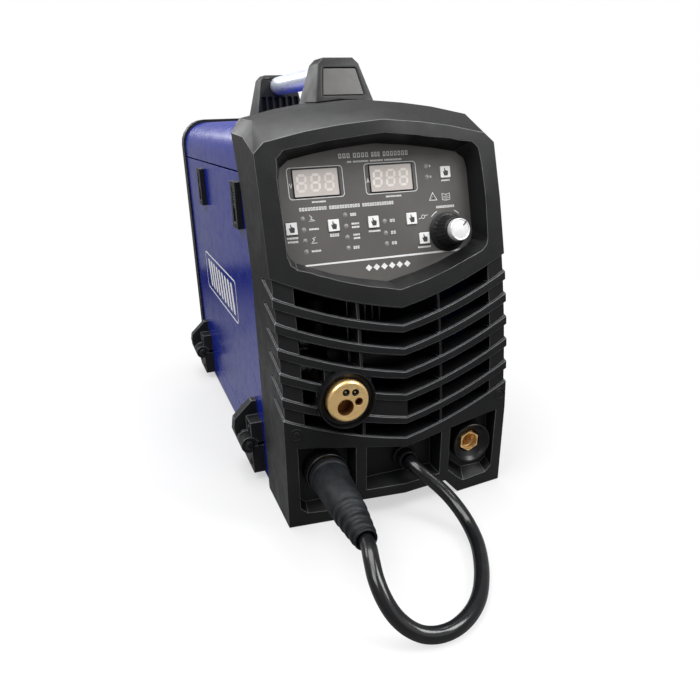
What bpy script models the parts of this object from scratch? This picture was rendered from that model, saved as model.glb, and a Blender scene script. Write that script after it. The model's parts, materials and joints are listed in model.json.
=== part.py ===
"""Compact inverter MIG welding machine with its polarity cable, as separate pieces.

Sizes and places are in millimetres: x from the mid-plane, y backwards from the front edge of
the case, z up from the floor. The mesh helpers turn them into metres, and the empty
"model_frame" puts the middle of the machine's footprint at the origin.
"""
import math

import bmesh
import bpy
from mathutils import Matrix, Vector

MM = 0.001
GAP = 0.3                    # air between pieces that touch
SHEET = 1.2                  # steel sheet thickness

# --- case ---------------------------------------------------------------------------------
HALF_W = 107.0               # half width of both plastic end mouldings
CASE_HALF_W = 104.5          # half width of the steel case
CASE_TOP = 343.0
CASE_RADIUS = 30.0           # top corners of the steel case
CASE_BOTTOM = 3.0
SHEET_FRONT, SHEET_BACK = 72.0, 476.0
BACK = 483.0                 # rear face of the rear moulding
BACK_RIM = 466.0             # front edge of the rear moulding
DOOR_TOP, DOOR_BOTTOM = 299.2, 33.4
RAIL_BOTTOM, SILL_TOP = 300.7, 32.4
DIVIDER_X = -21.0            # sheet between wire compartment and electronics

# --- front moulding -----------------------------------------------------------------------
FACE_CURVE, FACE_CURVE_Z = 0.0007, 90.65    # the face leans back as a parabola
FACE_BOW = 11.3              # how far the middle of the face stands forward
FACE_HALF = 105.0
STEP = 1.6                   # how far each grille rib stands proud
LOUVRE_FALL, LOUVRE_BACK = 0.12, 30.0    # fall of the cells for each mm of depth, and their far end
RIM_LOW = 192.0              # lower edge of the panel surround, at the middle
RIB_TOPS = (176.4, 156.7, 136.0, 115.5, 94.0, 74.3)
RIB_BOW, RIB_CURL = 0.15, 0.0014
NOTCH_RISE = 9.0             # how far each side notch climbs from the corner
NOTCH_END = 1.5              # length of the short wall that ends a notch
TOP_EDGE_SIDE = 330.0        # height of the front's top edge where it has gone round to the side
COLUMNS = (0.0, 18.0, 35.0, 50.0, 64.0, 81.0, 98.0, 107.0)
TOP_EDGE = ((0, 340), (18, 338.5), (35, 337), (50, 335), (64, 333), (81, 329.5), (98, 326), (107, 318))
PANEL_Y, PANEL_Z, PANEL_LEAN = 32.0, 231.0, 0.226
WINDOW_FRONT = ((0, 330), (30, 327), (62, 323), (84, 319.5), (90, 314), (91.5, 300), (91, 240),
                (89, 233), (84, 229), (67, 223.5), (51, 218), (27, 211.5), (0, 206.4))
WINDOW_BACK = ((0, 321), (30, 318.5), (55, 315), (76, 311), (84, 305), (86, 296), (86.2, 243),
               (84.5, 235.5), (80, 231), (64, 224.5), (49, 219), (26, 213), (0, 207.8))
BEZEL_CREST_Y, BEZEL_TOP_BACK = 72.0, 150.0
CAVITY_Y = 17.0              # inside of the front wall
POCKET_Y = 13.0              # floor of the three socket pockets

# --- sockets, cable -----------------------------------------------------------------------
EURO_X, EURO_Z = -53.3, 119.3
SOCKET_X, SOCKET_Z = 71.5, 50.0
GLAND_X, GLAND_Z = 6.5, 45.5
CABLE_D = 12.0
PLUG_LENGTH = 100.0
PLUG_AXIS = Vector((-4.5, -103.0, -0.6)).normalized()
CABLE_ROUTE = (
    (6.5, -0.9, 45.5), (8.0, -7.0, 44.0), (11.8, -14.5, 40.2), (18.8, -23.5, 34.0), (26.0, -35.5, 26.3),
    (31.0, -49.0, 18.2), (32.3, -66.0, 11.0), (27.8, -87.5, 7.2), (17.6, -110.5, 6.1), (5.5, -130.5, 6.1),
    (-5.1, -143.8, 6.1), (-16.7, -154.0, 6.1), (-28.6, -160.8, 6.1), (-39.5, -164.0, 6.1),
    (-50.5, -164.0, 6.6), (-60.5, -161.8, 9.2), (-69.2, -158.0, 14.8), (-76.0, -152.4, 22.4),
    (-80.2, -144.8, 31.4), (-81.6, -134.6, 40.2), (-79.6, -121.5, 47.0),
    (-76.9, -110.0, 49.1), (-75.7, -99.6, 49.4))

# --- control panel ------------------------------------------------------------------------
BUTTONS = ((-79.7, 257.7), (-43.3, 257.7), (-7.4, 257.7), (28.3, 257.7), (38.9, 240.4), (64.7, 294.3))
BUTTON_SIDE = 9.6
DISPLAYS = {"display_volts": -54.3, "display_amps": 13.0}
DISPLAY_Z, DISPLAY_W, DISPLAY_H = 292.6, 39.0, 21.6
KNOB_X, KNOB_Z = 61.7, 243.8

# --- door hardware ------------------------------------------------------------------------
HINGE_X, HINGE_Z = -119.0, 39.5
HINGE_FRONTS = {"front": 100.0, "rear": 405.0}
HINGE_LENGTH, KNUCKLE_R = 50.0, 8.5
LATCH_YS = {"front": 120.0, "rear": 330.0}

# --- handle -------------------------------------------------------------------------------
TUBE_R, TUBE_Z = 10.4, 381.5
TUBE_Y = (150.0, 362.0)

# --- inside -------------------------------------------------------------------------------
SPOOL_Y, SPOOL_Z, SPOOL_R = 300.0, 190.0, 99.0
ROLL_Y, DRIVE_R, PRESS_R = 130.0, 15.0, 12.0
DRIVE_Z = EURO_Z - 0.6 - DRIVE_R            # the wire runs between the two rolls
PRESS_Z = EURO_Z + 0.6 + PRESS_R
ARM_PIVOT = (160.0, 141.0)
FAN_X, FAN_Z, FAN_BLADES = 42.0, 200.0, 7
ROCKER_TILT = 12.0           # degrees from level; the switch is off at rest

FRONT_LIMIT, BACK_LIMIT = -12.5, 506.0      # euro connector's face, gas nipple's end
LEFT_LIMIT = -130.0                         # hinge lugs
ORIGIN = Vector(((LEFT_LIMIT + HALF_W) / 2, (FRONT_LIMIT + BACK_LIMIT) / 2, 0.0))

MATERIALS = {                # colour, roughness, metallic
    "black_plastic": ((0.035, 0.036, 0.039), 0.5, 0.0),
    "blue_paint": ((0.045, 0.06, 0.36), 0.22, 0.2),
    "black_steel": ((0.03, 0.03, 0.035), 0.45, 0.4),
    "zinc_steel": ((0.55, 0.56, 0.58), 0.4, 0.9),
    "anodised_tube": ((0.62, 0.66, 0.82), 0.28, 0.85),
    "panel_film": ((0.12, 0.113, 0.112), 0.35, 0.0),
    "display_lens": ((0.74, 0.69, 0.68), 0.2, 0.0),
    "white_button": ((0.86, 0.86, 0.85), 0.4, 0.0),
    "brass": ((0.83, 0.6, 0.25), 0.25, 1.0),
    "rubber": ((0.045, 0.047, 0.05), 0.75, 0.0),
    "cable_jacket": ((0.02, 0.02, 0.022), 0.3, 0.0),
    "silver_cap": ((0.85, 0.85, 0.86), 0.25, 0.9),
    "spool_plastic": ((0.06, 0.06, 0.065), 0.5, 0.0),
    "board_green": ((0.03, 0.16, 0.08), 0.45, 0.0),
    "aluminium": ((0.72, 0.73, 0.75), 0.35, 0.95),
}


# ------------------------------------------------------------------------------------------
# helpers
# ------------------------------------------------------------------------------------------
def clear_scene():
    for obj in list(bpy.data.objects):
        bpy.data.objects.remove(obj, do_unlink=True)


def make_materials():
    made = {}
    for name, (colour, roughness, metallic) in MATERIALS.items():
        mat = bpy.data.materials.new(name)
        mat.use_nodes = True
        shader = mat.node_tree.nodes["Principled BSDF"]
        shader.inputs["Base Color"].default_value = (*colour, 1.0)
        shader.inputs["Roughness"].default_value = roughness
        shader.inputs["Metallic"].default_value = metallic
        mat.diffuse_color = (*colour, 1.0)
        made[name] = mat
    return made


def add_object(name, verts, faces, material=None, pivot=(0, 0, 0)):
    """A mesh object from millimetre vertices, with its origin on pivot."""
    mesh = bpy.data.meshes.new(name)
    pivot = Vector(pivot)
    mesh.from_pydata([(Vector(v) - pivot) * MM for v in verts], [], faces)
    bm = bmesh.new()
    bm.from_mesh(mesh)
    bmesh.ops.recalc_face_normals(bm, faces=bm.faces)
    bm.to_mesh(mesh)
    bm.free()
    mesh.shade_smooth()
    mesh.set_sharp_from_angle(angle=math.radians(35))
    obj = bpy.data.objects.new(name, mesh)
    bpy.context.collection.objects.link(obj)
    obj.parent = FRAME
    obj.location = pivot * MM
    if material:
        mesh.materials.append(MATS[material])
    return obj


def loft(name, rings, material=None, pivot=(0, 0, 0)):
    """A closed solid through equal rings of points, capped at both ends."""
    n = len(rings[0])
    verts = [p for ring in rings for p in ring]
    faces = [list(range(n)), list(range(len(verts) - n, len(verts)))]
    for r in range(len(rings) - 1):
        for i in range(n):
            j = (i + 1) % n
            faces.append([r * n + i, r * n + j, (r + 1) * n + j, (r + 1) * n + i])
    return add_object(name, verts, faces, material, pivot)


def place(axis, along, a, b):
    """A point from its place along an axis and its two other coordinates, in x, y, z order."""
    point = [a, b]
    point.insert("XYZ".index(axis), along)
    return tuple(point)


def prism(name, outline, axis, low, high, material=None, pivot=(0, 0, 0)):
    rings = [[place(axis, t, a, b) for a, b in outline] for t in (low, high)]
    return loft(name, rings, material, pivot)


def box(name, low, high, material=None, pivot=(0, 0, 0)):
    (x0, y0, z0), (x1, y1, z1) = low, high
    return prism(name, ((x0, y0), (x1, y0), (x1, y1), (x0, y1)), "Z", z0, z1, material, pivot)


def turned(name, centre, axis, profile, material=None, steps=24, ring=False, pivot=(0, 0, 0)):
    """Revolves (distance along axis, radius) pairs; ring=True closes the profile on itself."""
    centre, axis = Vector(centre), Vector(axis).normalized()
    side = axis.cross(Vector((0, 0, 1)) if abs(axis.z) < 0.9 else Vector((1, 0, 0))).normalized()
    up = side.cross(axis)
    verts = []
    for along, radius in profile:
        for k in range(steps):
            angle = 2 * math.pi * (k + 0.5) / steps
            verts.append(centre + axis * along + (side * math.cos(angle) + up * math.sin(angle)) * radius)
    rows = len(profile)
    faces = []
    for r in range(rows if ring else rows - 1):
        s = (r + 1) % rows
        for k in range(steps):
            m = (k + 1) % steps
            faces.append([r * steps + k, r * steps + m, s * steps + m, s * steps + k])
    if not ring:
        faces += [list(range(steps)), list(range(len(verts) - steps, len(verts)))]
    return add_object(name, verts, faces, material, pivot)


def boolean(target, other, operation):
    mod = target.modifiers.new(operation.lower(), "BOOLEAN")
    mod.operation = operation
    mod.solver = "EXACT"
    mod.object = other
    other.hide_render = True
    other.display_type = "WIRE"
    return target


def cut(target, *cutters):
    for cutter in cutters:
        boolean(target, cutter, "DIFFERENCE")
    return target


def fuse(target, *others):
    for other in others:
        boolean(target, other, "UNION")
    return target


def combine(name, pieces):
    """Several closed shapes that don't touch, as one cutter."""
    verts, faces = [], []
    for piece_verts, piece_faces in pieces:
        faces += [[i + len(verts) for i in face] for face in piece_faces]
        verts += piece_verts
    return add_object(name, verts, faces)


def block_shape(rings):
    n = len(rings[0])
    verts = [p for ring in rings for p in ring]
    faces = [list(range(n)), list(range(len(verts) - n, len(verts)))]
    for i in range(n):
        j = (i + 1) % n
        faces.append([i, j, n + j, n + i])
    return verts, faces


def mirrored(half):
    """A closed outline from its right half, listed from the middle top to the middle bottom."""
    left = [(-x, z) for x, z in reversed(half) if x > 0]
    return list(half) + left


def rounded(half_w, z_low, z_high, radius, steps=6, low_radius=0.0):
    """A symmetric outline with round top corners and, if asked, round bottom corners."""
    right = []
    for k in range(steps + 1):
        a = math.pi / 2 * (1 - k / steps)
        right.append((half_w - radius + radius * math.cos(a), z_high - radius + radius * math.sin(a)))
    if low_radius:
        for k in range(steps + 1):
            a = -math.pi / 2 * k / steps
            right.append((half_w - low_radius + low_radius * math.cos(a),
                          z_low + low_radius + low_radius * math.sin(a)))
    else:
        right.append((half_w, z_low))
    return right + [(-x, z) for x, z in reversed(right)]


def face_y(x, z):
    return FACE_CURVE * (z - FACE_CURVE_Z) ** 2 - FACE_BOW * (1 - abs(x) / FACE_HALF)


def panel_y(z):
    return PANEL_Y + PANEL_LEAN * (z - PANEL_Z)


def rib_z(z_mid, x):
    return z_mid + RIB_BOW * abs(x) + RIB_CURL * x * x


def rib_low(z_top, x):
    return rib_z(z_top, x) - 5.2 - 1.6 * abs(x) / 89.0


# ------------------------------------------------------------------------------------------
# front moulding
# ------------------------------------------------------------------------------------------
def face_rows():
    """Rows of the front face, from the floor up: height at x, whether proud, height on the side.

    Between two ribs the sunken band runs on round the corner as a notch that narrows to a point.
    """
    rows = [(lambda x: 0.0, True, 0.0),
            (lambda x: 66.3 + 0.14 * abs(x), True, 89.0)]
    tip = None
    for top in reversed(RIB_TOPS):
        if tip is not None:
            rows.append((lambda x, t=top: rib_low(t, x) - 0.2, False, tip + 2.7))
            rows.append((lambda x, t=top: rib_low(t, x), True, tip + 2.9))
        tip = rib_z(top, HALF_W) + NOTCH_RISE
        rows.append((lambda x, t=top: rib_z(t, x), True, tip))
        rows.append((lambda x, t=top: rib_z(t, x) + 0.9, False, tip + 0.9))
    rows.append((lambda x: rib_z(RIM_LOW, x) - 0.2, False, tip + 2.7))
    rows.append((lambda x: rib_z(RIM_LOW, x), True, tip + 2.9))
    rows.append((lambda x: 272.0, True, 284.0))
    heights = dict(TOP_EDGE)
    rows.append((lambda x: heights[abs(x)], True, TOP_EDGE_SIDE))
    return rows


def side_back(z):
    """Where the moulding's side ends, which runs further back towards the top."""
    if z <= 215:
        return 80.0
    return 80.0 + 20.0 * (z - 215) / 85.0 if z <= 300 else 100.0 + 18.0 * (z - 300) / 30.0


def notch_tip_y(z):
    """How far back the side notches reach, a little further towards the top."""
    return max(28.0, 32.3 + 0.105 * (z - 132.0))


def front_moulding_blank():
    xs = [-x for x in reversed(COLUMNS) if x > 0] + list(COLUMNS)
    rows = face_rows()
    grid = []
    for height, proud, z_side in rows:
        sunk = 0.0 if proud else STEP
        line = []
        for x in xs:
            z = height(x)
            px = x - math.copysign(sunk, x) if abs(x) == HALF_W else x
            line.append((px, face_y(x, z) + sunk, z))
        if z_side == TOP_EDGE_SIDE:
            fade_y, z_back = BEZEL_CREST_Y, z_side + 3.0
            end = (HALF_W, fade_y, z_side)
        else:
            fade_y, z_back = notch_tip_y(z_side), z_side
            end = (HALF_W - sunk, fade_y - NOTCH_END, z_side)
        side = [end, (HALF_W, fade_y, z_side), (HALF_W, side_back(z_back), z_back)]
        grid.append([(-px, y, z) for px, y, z in reversed(side)] + line + side)
    top_front = grid[-1][3:-3]
    crest, back = [], []
    for x, _, z in top_front[1:-1]:
        middle = 1 - abs(x) / HALF_W
        crest.append((x, BEZEL_CREST_Y, z + 16))
        back.append((x, 121.0 + (BEZEL_TOP_BACK - 121.0) * middle, z + 18.6))
    verts, index = [], {}

    def vert(point):
        if point not in index:
            index[point] = len(verts)
            verts.append(point)
        return index[point]

    faces = []
    for low, high in zip(grid, grid[1:]):
        for k in range(len(low) - 1):
            quad = [low[k], low[k + 1], high[k + 1], high[k]]
            faces.append(list(dict.fromkeys(vert(p) for p in quad)))
        faces.append([vert(low[0]), vert(low[-1]), vert(high[-1]), vert(high[0])])
    top = grid[-1]
    lines = [top_front, [top[1]] + crest + [top[-2]], [top[0]] + back + [top[-1]]]
    for low, high in zip(lines, lines[1:]):
        for k in range(len(low) - 1):
            faces.append([vert(low[k]), vert(low[k + 1]), vert(high[k + 1]), vert(high[k])])
    last = lines[-1]
    for k in range(len(last) // 2):
        quad = [last[k], last[k + 1], last[-k - 2], last[-k - 1]]
        faces.append(list(dict.fromkeys(vert(p) for p in quad)))
    faces.append([vert(p) for p in grid[0]])
    return add_object("front_bezel", verts, faces, "black_plastic")


def louvre_cells():
    """The open cells of the grille: they follow the ribs and fall a little towards the inside."""
    wide = ((-89.0, -39.0), (-36.5, 34.8), (37.3, 89.0))
    layout = (wide, wide, wide,
              ((-89.0, -70.0), (-30.0, 34.8), (37.3, 89.0)),
              ((-89.0, -77.5), (1.5, 34.8), (37.3, 89.0)),
              wide)
    uppers = (RIM_LOW,) + RIB_TOPS[:-1]
    pieces = []
    for row, cells in enumerate(layout):
        for x0, x1 in cells:
            xs = sorted({x0, x1} | {x for x in (-64, -50, -18, 0, 18, 50, 64, 81) if x0 < x < x1})
            if row == 0:
                upper = [(x, rib_z(uppers[0], x) - 0.9) for x in xs]
            else:
                upper = [(x, rib_low(uppers[row], x) - 0.9) for x in xs]
            lower = [(x, rib_z(RIB_TOPS[row], x) + 0.9) for x in xs]
            outline = lower + upper[::-1]
            front = [(x, face_y(x, z) - 6.0, z + 6.0 * LOUVRE_FALL) for x, z in outline]
            back = [(x, LOUVRE_BACK, z - LOUVRE_FALL * (LOUVRE_BACK - face_y(x, z))) for x, z in outline]
            pieces.append(block_shape([front, back]))
    return combine("cutter_grille", pieces)


def pocket_cutter(name, front, floor):
    rings = [[(x, -30.0, z) for x, z in front]]
    rings.append([(x, -4.0, z) for x, z in front])
    rings.append([(x, POCKET_Y, z) for x, z in floor])
    return loft(name, rings)


def make_front_bezel():
    bezel = front_moulding_blank()
    front, back = mirrored(WINDOW_FRONT), mirrored(WINDOW_BACK)
    outer, inner = [], []
    for (xf, zf), (xb, zb) in zip(front, back):
        a = Vector((xf, face_y(xf, zf), zf))
        b = Vector((xb, panel_y(zb), zb))
        outer.append(tuple(a + (a - b) * 0.7))
        inner.append(tuple(b + (b - a) * 0.02))
    window = loft("cutter_window", [outer, inner])
    profile = [(CAVITY_Y, 21.0), (CAVITY_Y, 105.0), (22.0, 192.0), (panel_y(206.0), 206.0),
               (panel_y(312.0), 312.0), (200.0, 312.0), (200.0, 21.0)]
    cavity = prism("cutter_cavity", profile, "X", -103.0, 103.0)
    upper = [(panel_y(300.0), 300.0), (panel_y(327.0), 327.0), (200.0, 327.0), (200.0, 300.0)]
    attic = prism("cutter_attic", upper, "X", -90.0, 90.0)
    rebate = prism("cutter_rebate", rounded(CASE_HALF_W + 0.4, 2.6, CASE_TOP + 0.4, CASE_RADIUS), "Y",
                   70.0, 200.0)
    feet_arch = prism("cutter_feet", ((-63.0, -5), (-43.5, 17.0), (43.5, 17.0), (63.0, -5)), "Y", -40, 69.5)
    cut(bezel, cavity, attic, rebate, window, louvre_cells(), feet_arch)
    for side, word in ((1, "right"), (-1, "left")):
        front_line = ((46, 73), (97, 80), (97, 14), (91, 8.5), (63, 8.5), (46, 27))
        floor_line = ((48, 71), (95, 77), (95, 24), (89, 18.5), (68.5, 18.5), (49, 35))
        cut(bezel, pocket_cutter(f"cutter_pocket_{word}", [(side * x, z) for x, z in front_line],
                                 [(side * x, z) for x, z in floor_line]))
        cut(bezel, turned(f"cutter_socket_{word}", (side * SOCKET_X, 0, SOCKET_Z), (0, 1, 0),
                          ((5, 15), (25, 15))))
    cut(bezel, pocket_cutter("cutter_pocket_middle",
                             ((-36.5, 71.5), (0, 66.3), (36.5, 71.5), (36.5, 27.0), (-36.5, 27.0)),
                             ((-34.5, 69.5), (0, 64.5), (34.5, 69.5), (34.5, 30.0), (-34.5, 30.0))))
    cut(bezel, turned("cutter_gland", (GLAND_X, 0, GLAND_Z), (0, 1, 0), ((5, 8), (25, 8)), steps=24))
    euro = ((-30, 25.9), (-2.6, 25.9), (-2.6, 19.8), (30, 19.8))
    cut(bezel, turned("cutter_euro", (EURO_X, 0, EURO_Z), (0, 1, 0), euro, steps=32))
    return bezel


# ------------------------------------------------------------------------------------------
# steel case and rear moulding
# ------------------------------------------------------------------------------------------
def make_case():
    outer = rounded(CASE_HALF_W, RAIL_BOTTOM, CASE_TOP, CASE_RADIUS)
    inner = rounded(CASE_HALF_W - SHEET, RAIL_BOTTOM, CASE_TOP - SHEET, CASE_RADIUS - SHEET)
    outer[len(outer) // 2 - 1] = (CASE_HALF_W, 8.0)
    inner[len(inner) // 2 - 1] = (CASE_HALF_W - SHEET, 8.0)
    half = len(outer) // 2
    path = outer[half:] + outer[:half]
    back_path = inner[half:] + inner[:half]
    cover = prism("cover_shell", path + back_path[::-1], "Y", SHEET_FRONT, SHEET_BACK, "blue_paint")
    slots = []
    for row in range(2):
        for k in range(10):
            y = 150.0 + 26.0 * k
            z = 78.0 + 46.0 * row
            outline = [(y, z), (y + 5, z), (y + 17, z + 34), (y + 12, z + 34)]
            slots.append(block_shape([[(x, a, b) for a, b in outline] for x in (100.0, 110.0)]))
    cut(cover, combine("cutter_side_slots", slots))

    s = CASE_HALF_W
    pan = [(-s, SILL_TOP), (-s, CASE_BOTTOM), (s - SHEET - GAP, CASE_BOTTOM), (s - SHEET - GAP, 24.0),
           (s - 2 * SHEET - GAP, 24.0), (s - 2 * SHEET - GAP, CASE_BOTTOM + SHEET),
           (SHEET - s, CASE_BOTTOM + SHEET), (SHEET - s, SILL_TOP)]
    prism("base_pan", pan, "Y", SHEET_FRONT, SHEET_BACK, "blue_paint")
    box("divider_plate", (DIVIDER_X - SHEET / 2, SHEET_FRONT + 3, CASE_BOTTOM + SHEET + GAP),
        (DIVIDER_X + SHEET / 2, SHEET_BACK - 1, CASE_TOP - SHEET - GAP), "zinc_steel")
    cut(bpy.data.objects["divider_plate"],
        turned("cutter_motor_hole", (DIVIDER_X - 5, ROLL_Y, DRIVE_Z), (1, 0, 0), ((0, 12), (10, 12))))


def door_front(z):
    return side_back(z) + 1.2


def make_door():
    pivot = (HINGE_X, 0, HINGE_Z)
    back = BACK_RIM - 1.5
    outline = [(door_front(DOOR_BOTTOM), DOOR_BOTTOM), (door_front(215.0), 215.0),
               (door_front(DOOR_TOP), DOOR_TOP), (back, DOOR_TOP), (back, DOOR_BOTTOM)]
    x0 = -CASE_HALF_W
    door = prism("side_door", outline, "X", x0, x0 + 9.0, "blue_paint", pivot)
    lip = 1.2
    inside = [(door_front(DOOR_BOTTOM) + lip, DOOR_BOTTOM + lip), (door_front(215.0) + lip, 215.0),
              (door_front(DOOR_TOP) + lip, DOOR_TOP - lip), (back - lip, DOOR_TOP - lip),
              (back - lip, DOOR_BOTTOM + lip)]
    cut(door, prism("cutter_door", inside, "X", x0 + SHEET, x0 + 20.0))


def make_rear_bezel():
    bezel = prism("rear_bezel", rounded(HALF_W, 0.0, 347.0, 31.5, low_radius=8.0), "Y", BACK_RIM, BACK,
                  "black_plastic")
    pocket = prism("cutter_rear_rebate", rounded(CASE_HALF_W + 0.4, 2.6, CASE_TOP + 0.4, CASE_RADIUS), "Y",
                   400.0, BACK - 5.0)
    slots = []
    for k in range(-5, 6):
        z = FAN_Z + 8.6 * k
        half = math.sqrt(46.0 ** 2 - (8.6 * k) ** 2) - 1.0
        for x0, x1 in ((-half, -2.0), (2.0, half)):
            if x1 - x0 > 5:
                outline = [(FAN_X + x0, z - 2.6), (FAN_X + x1, z - 2.6), (FAN_X + x1, z + 2.6),
                           (FAN_X + x0, z + 2.6)]
                slots.append(block_shape([[(a, y, b) for a, b in outline] for y in (BACK - 12, BACK + 5)]))
    cut(bezel, pocket, combine("cutter_fan_slots", slots))
    cut(bezel, box("cutter_switch", (-76.4, BACK - 12, 273.6), (-43.6, BACK + 5, 296.4)))
    for name, z, r in (("cutter_inlet", 100.0, 12.3), ("cutter_gas", 160.0, 6.3)):
        cut(bezel, turned(name, (-60, BACK - 12, z), (0, 1, 0), ((0, r), (20, r))))


# ------------------------------------------------------------------------------------------
# handle
# ------------------------------------------------------------------------------------------
def make_handle():
    def post(name, base_z, y0, y1, lean0, lean1, half0, half1, top_z):
        base = [(-half0, y0, base_z), (half0, y0, base_z), (half0, y1, base_z), (-half0, y1, base_z)]
        mid = [(-half1, y0 + lean0, top_z - 5), (half1, y0 + lean0, top_z - 5),
               (half1, y1 + lean1, top_z - 5), (-half1, y1 + lean1, top_z - 5)]
        cap = [(-half1 + 5, y0 + lean0 + 2, top_z), (half1 - 5, y0 + lean0 + 2, top_z),
               (half1 - 5, y1 + lean1 - 2, top_z), (-half1 + 5, y1 + lean1 - 2, top_z)]
        return loft(name, [base, mid, cap], "black_plastic")

    front = post("handle_front_post", CASE_TOP + GAP, 112.8, 178.0, 20.0, -16.0, 31.6, 19.6, 394.5)
    edge = [(-x, z) for x, z in reversed(TOP_EDGE[1:5])] + list(TOP_EDGE[:5])
    seat = [[(x, y, z + rise) for x, z in edge] + [(64, y, 300), (-64, y, 300)]
            for y, rise in ((60.0, 16.0), (BEZEL_CREST_Y, 16.3), (BEZEL_TOP_BACK + GAP, 18.95))]
    cut(front, loft("cutter_front_seat", seat))
    inset = ((-20.2, 361.5), (20.2, 361.5), (15.8, 385.5), (-15.8, 385.5))
    face = [[(x, 112.8 + 20.0 * (z - 343.3) / 46.2 + dy, z) for x, z in inset] for dy in (1.6, -6.0)]
    cut(front, loft("cutter_post_inset", face))
    bore = TUBE_R + GAP
    cut(front, turned("cutter_tube_front", (0, 0, TUBE_Z), (0, 1, 0), ((TUBE_Y[0] - GAP, bore), (190, bore))))

    rear = post("handle_rear_post", CASE_TOP + GAP, 346.0, 398.0, 5.0, -16.0, 30.0, 21.0, 394.0)
    cut(rear, turned("cutter_tube_rear", (0, 0, TUBE_Z), (0, 1, 0), ((300, bore), (TUBE_Y[1] + GAP, bore))))
    grooves = []
    for k in range(6):
        x = -20.0 + 8.0 * k
        outline = [(x - 2.6, 349.0), (x + 2.6, 349.0), (x + 2.6, 369.0), (x - 2.6, 369.0)]
        grooves.append(block_shape([[(a, y, b) for a, b in outline] for y in (340.0, 353.5)]))
    cut(rear, combine("cutter_post_grooves", grooves))
    turned("handle_tube", (0, TUBE_Y[0], TUBE_Z), (0, 1, 0),
           ((0, TUBE_R), (TUBE_Y[1] - TUBE_Y[0], TUBE_R)), "anodised_tube", steps=24)


# ------------------------------------------------------------------------------------------
# control panel
# ------------------------------------------------------------------------------------------
def panel_point(x, z, depth):
    """A point at a depth behind the panel's front, measured square to the panel."""
    slope = math.atan(PANEL_LEAN)
    return (x, panel_y(z) + GAP + depth * math.cos(slope), z - depth * math.sin(slope))


def panel_slab(name, outline, d0, d1, material=None, pivot=(0, 0, 0)):
    return loft(name, [[panel_point(x, z, d) for x, z in outline] for d in (d0, d1)], material, pivot)


def square(x, z, w, h):
    return [(x - w / 2, z - h / 2), (x + w / 2, z - h / 2), (x + w / 2, z + h / 2), (x - w / 2, z + h / 2)]


def make_panel():
    outline = [(x * 1.035, 265 + (z - 265) * 1.03) for x, z in mirrored(WINDOW_BACK)]
    panel = panel_slab("control_panel", outline, 0.0, 2.5, "panel_film")
    holes = []
    for x, z in BUTTONS:
        side = BUTTON_SIDE + 0.8
        hole = square(x, z, side, side)
        holes.append(block_shape([[panel_point(a, b, d) for a, b in hole] for d in (-2, 5)]))
    cut(panel, combine("cutter_buttons", holes))
    for number, (x, z) in enumerate(BUTTONS, 1):
        panel_slab(f"button_{number}", square(x, z, BUTTON_SIDE, BUTTON_SIDE), -1.0, 2.2, "white_button",
                   panel_point(x, z, 0.0))
    for name, x in DISPLAYS.items():
        hole = panel_slab(f"cutter_{name}", square(x, DISPLAY_Z, DISPLAY_W + 0.8, DISPLAY_H + 0.8), -2, 5)
        cut(panel, hole)
        panel_slab(name, square(x, DISPLAY_Z, DISPLAY_W, DISPLAY_H), -0.3, 2.2, "display_lens")
    normal = Vector((0, -math.cos(math.atan(PANEL_LEAN)), math.sin(math.atan(PANEL_LEAN))))
    base = Vector(panel_point(KNOB_X, KNOB_Z, 0.0))
    cut(panel, turned("cutter_shaft", base, normal, ((-6, 4), (6, 4)), steps=20))
    skirt = ((-4.0, 3.2), (0.35, 3.2), (0.35, 17.2), (2.2, 17.2), (3.4, 14.0), (16.5, 12.2), (18.3, 11.0),
             (18.3, 9.2))
    turned("knob_skirt", base, normal, skirt, "black_plastic", 24, pivot=base)
    turned("knob_cap", base, normal, ((18.6, 9.7), (24.2, 9.7), (25.2, 8.7)), "silver_cap", 24, pivot=base)
    board = [(-78, 216), (78, 216), (78, 312), (-78, 312)]
    panel_slab("control_board", board, 8.0, 9.8, "board_green")


# ------------------------------------------------------------------------------------------
# sockets and polarity cable
# ------------------------------------------------------------------------------------------
def smooth_route(points, spacing):
    """Evenly spaced points on a smooth curve through the given ones."""
    pts = [Vector(p) for p in points]
    pts = [2 * pts[0] - pts[1]] + pts + [2 * pts[-1] - pts[-2]]
    fine = []
    for a, b, c, d in zip(pts, pts[1:], pts[2:], pts[3:]):
        for k in range(12):
            t = k / 12
            fine.append(0.5 * (2 * b + (c - a) * t + (2 * a - 5 * b + 4 * c - d) * t * t
                               + (3 * b - a - 3 * c + d) * t ** 3))
    fine.append(pts[-2])
    total = sum((q - p).length for p, q in zip(fine, fine[1:]))
    count = round(total / spacing)
    out, walked, target = [fine[0]], 0.0, total / count
    for p, q in zip(fine, fine[1:]):
        step = (q - p).length
        while walked + step >= target * len(out) and len(out) < count:
            out.append(p.lerp(q, (target * len(out) - walked) / step))
        walked += step
    return out + [fine[-1]]


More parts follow.
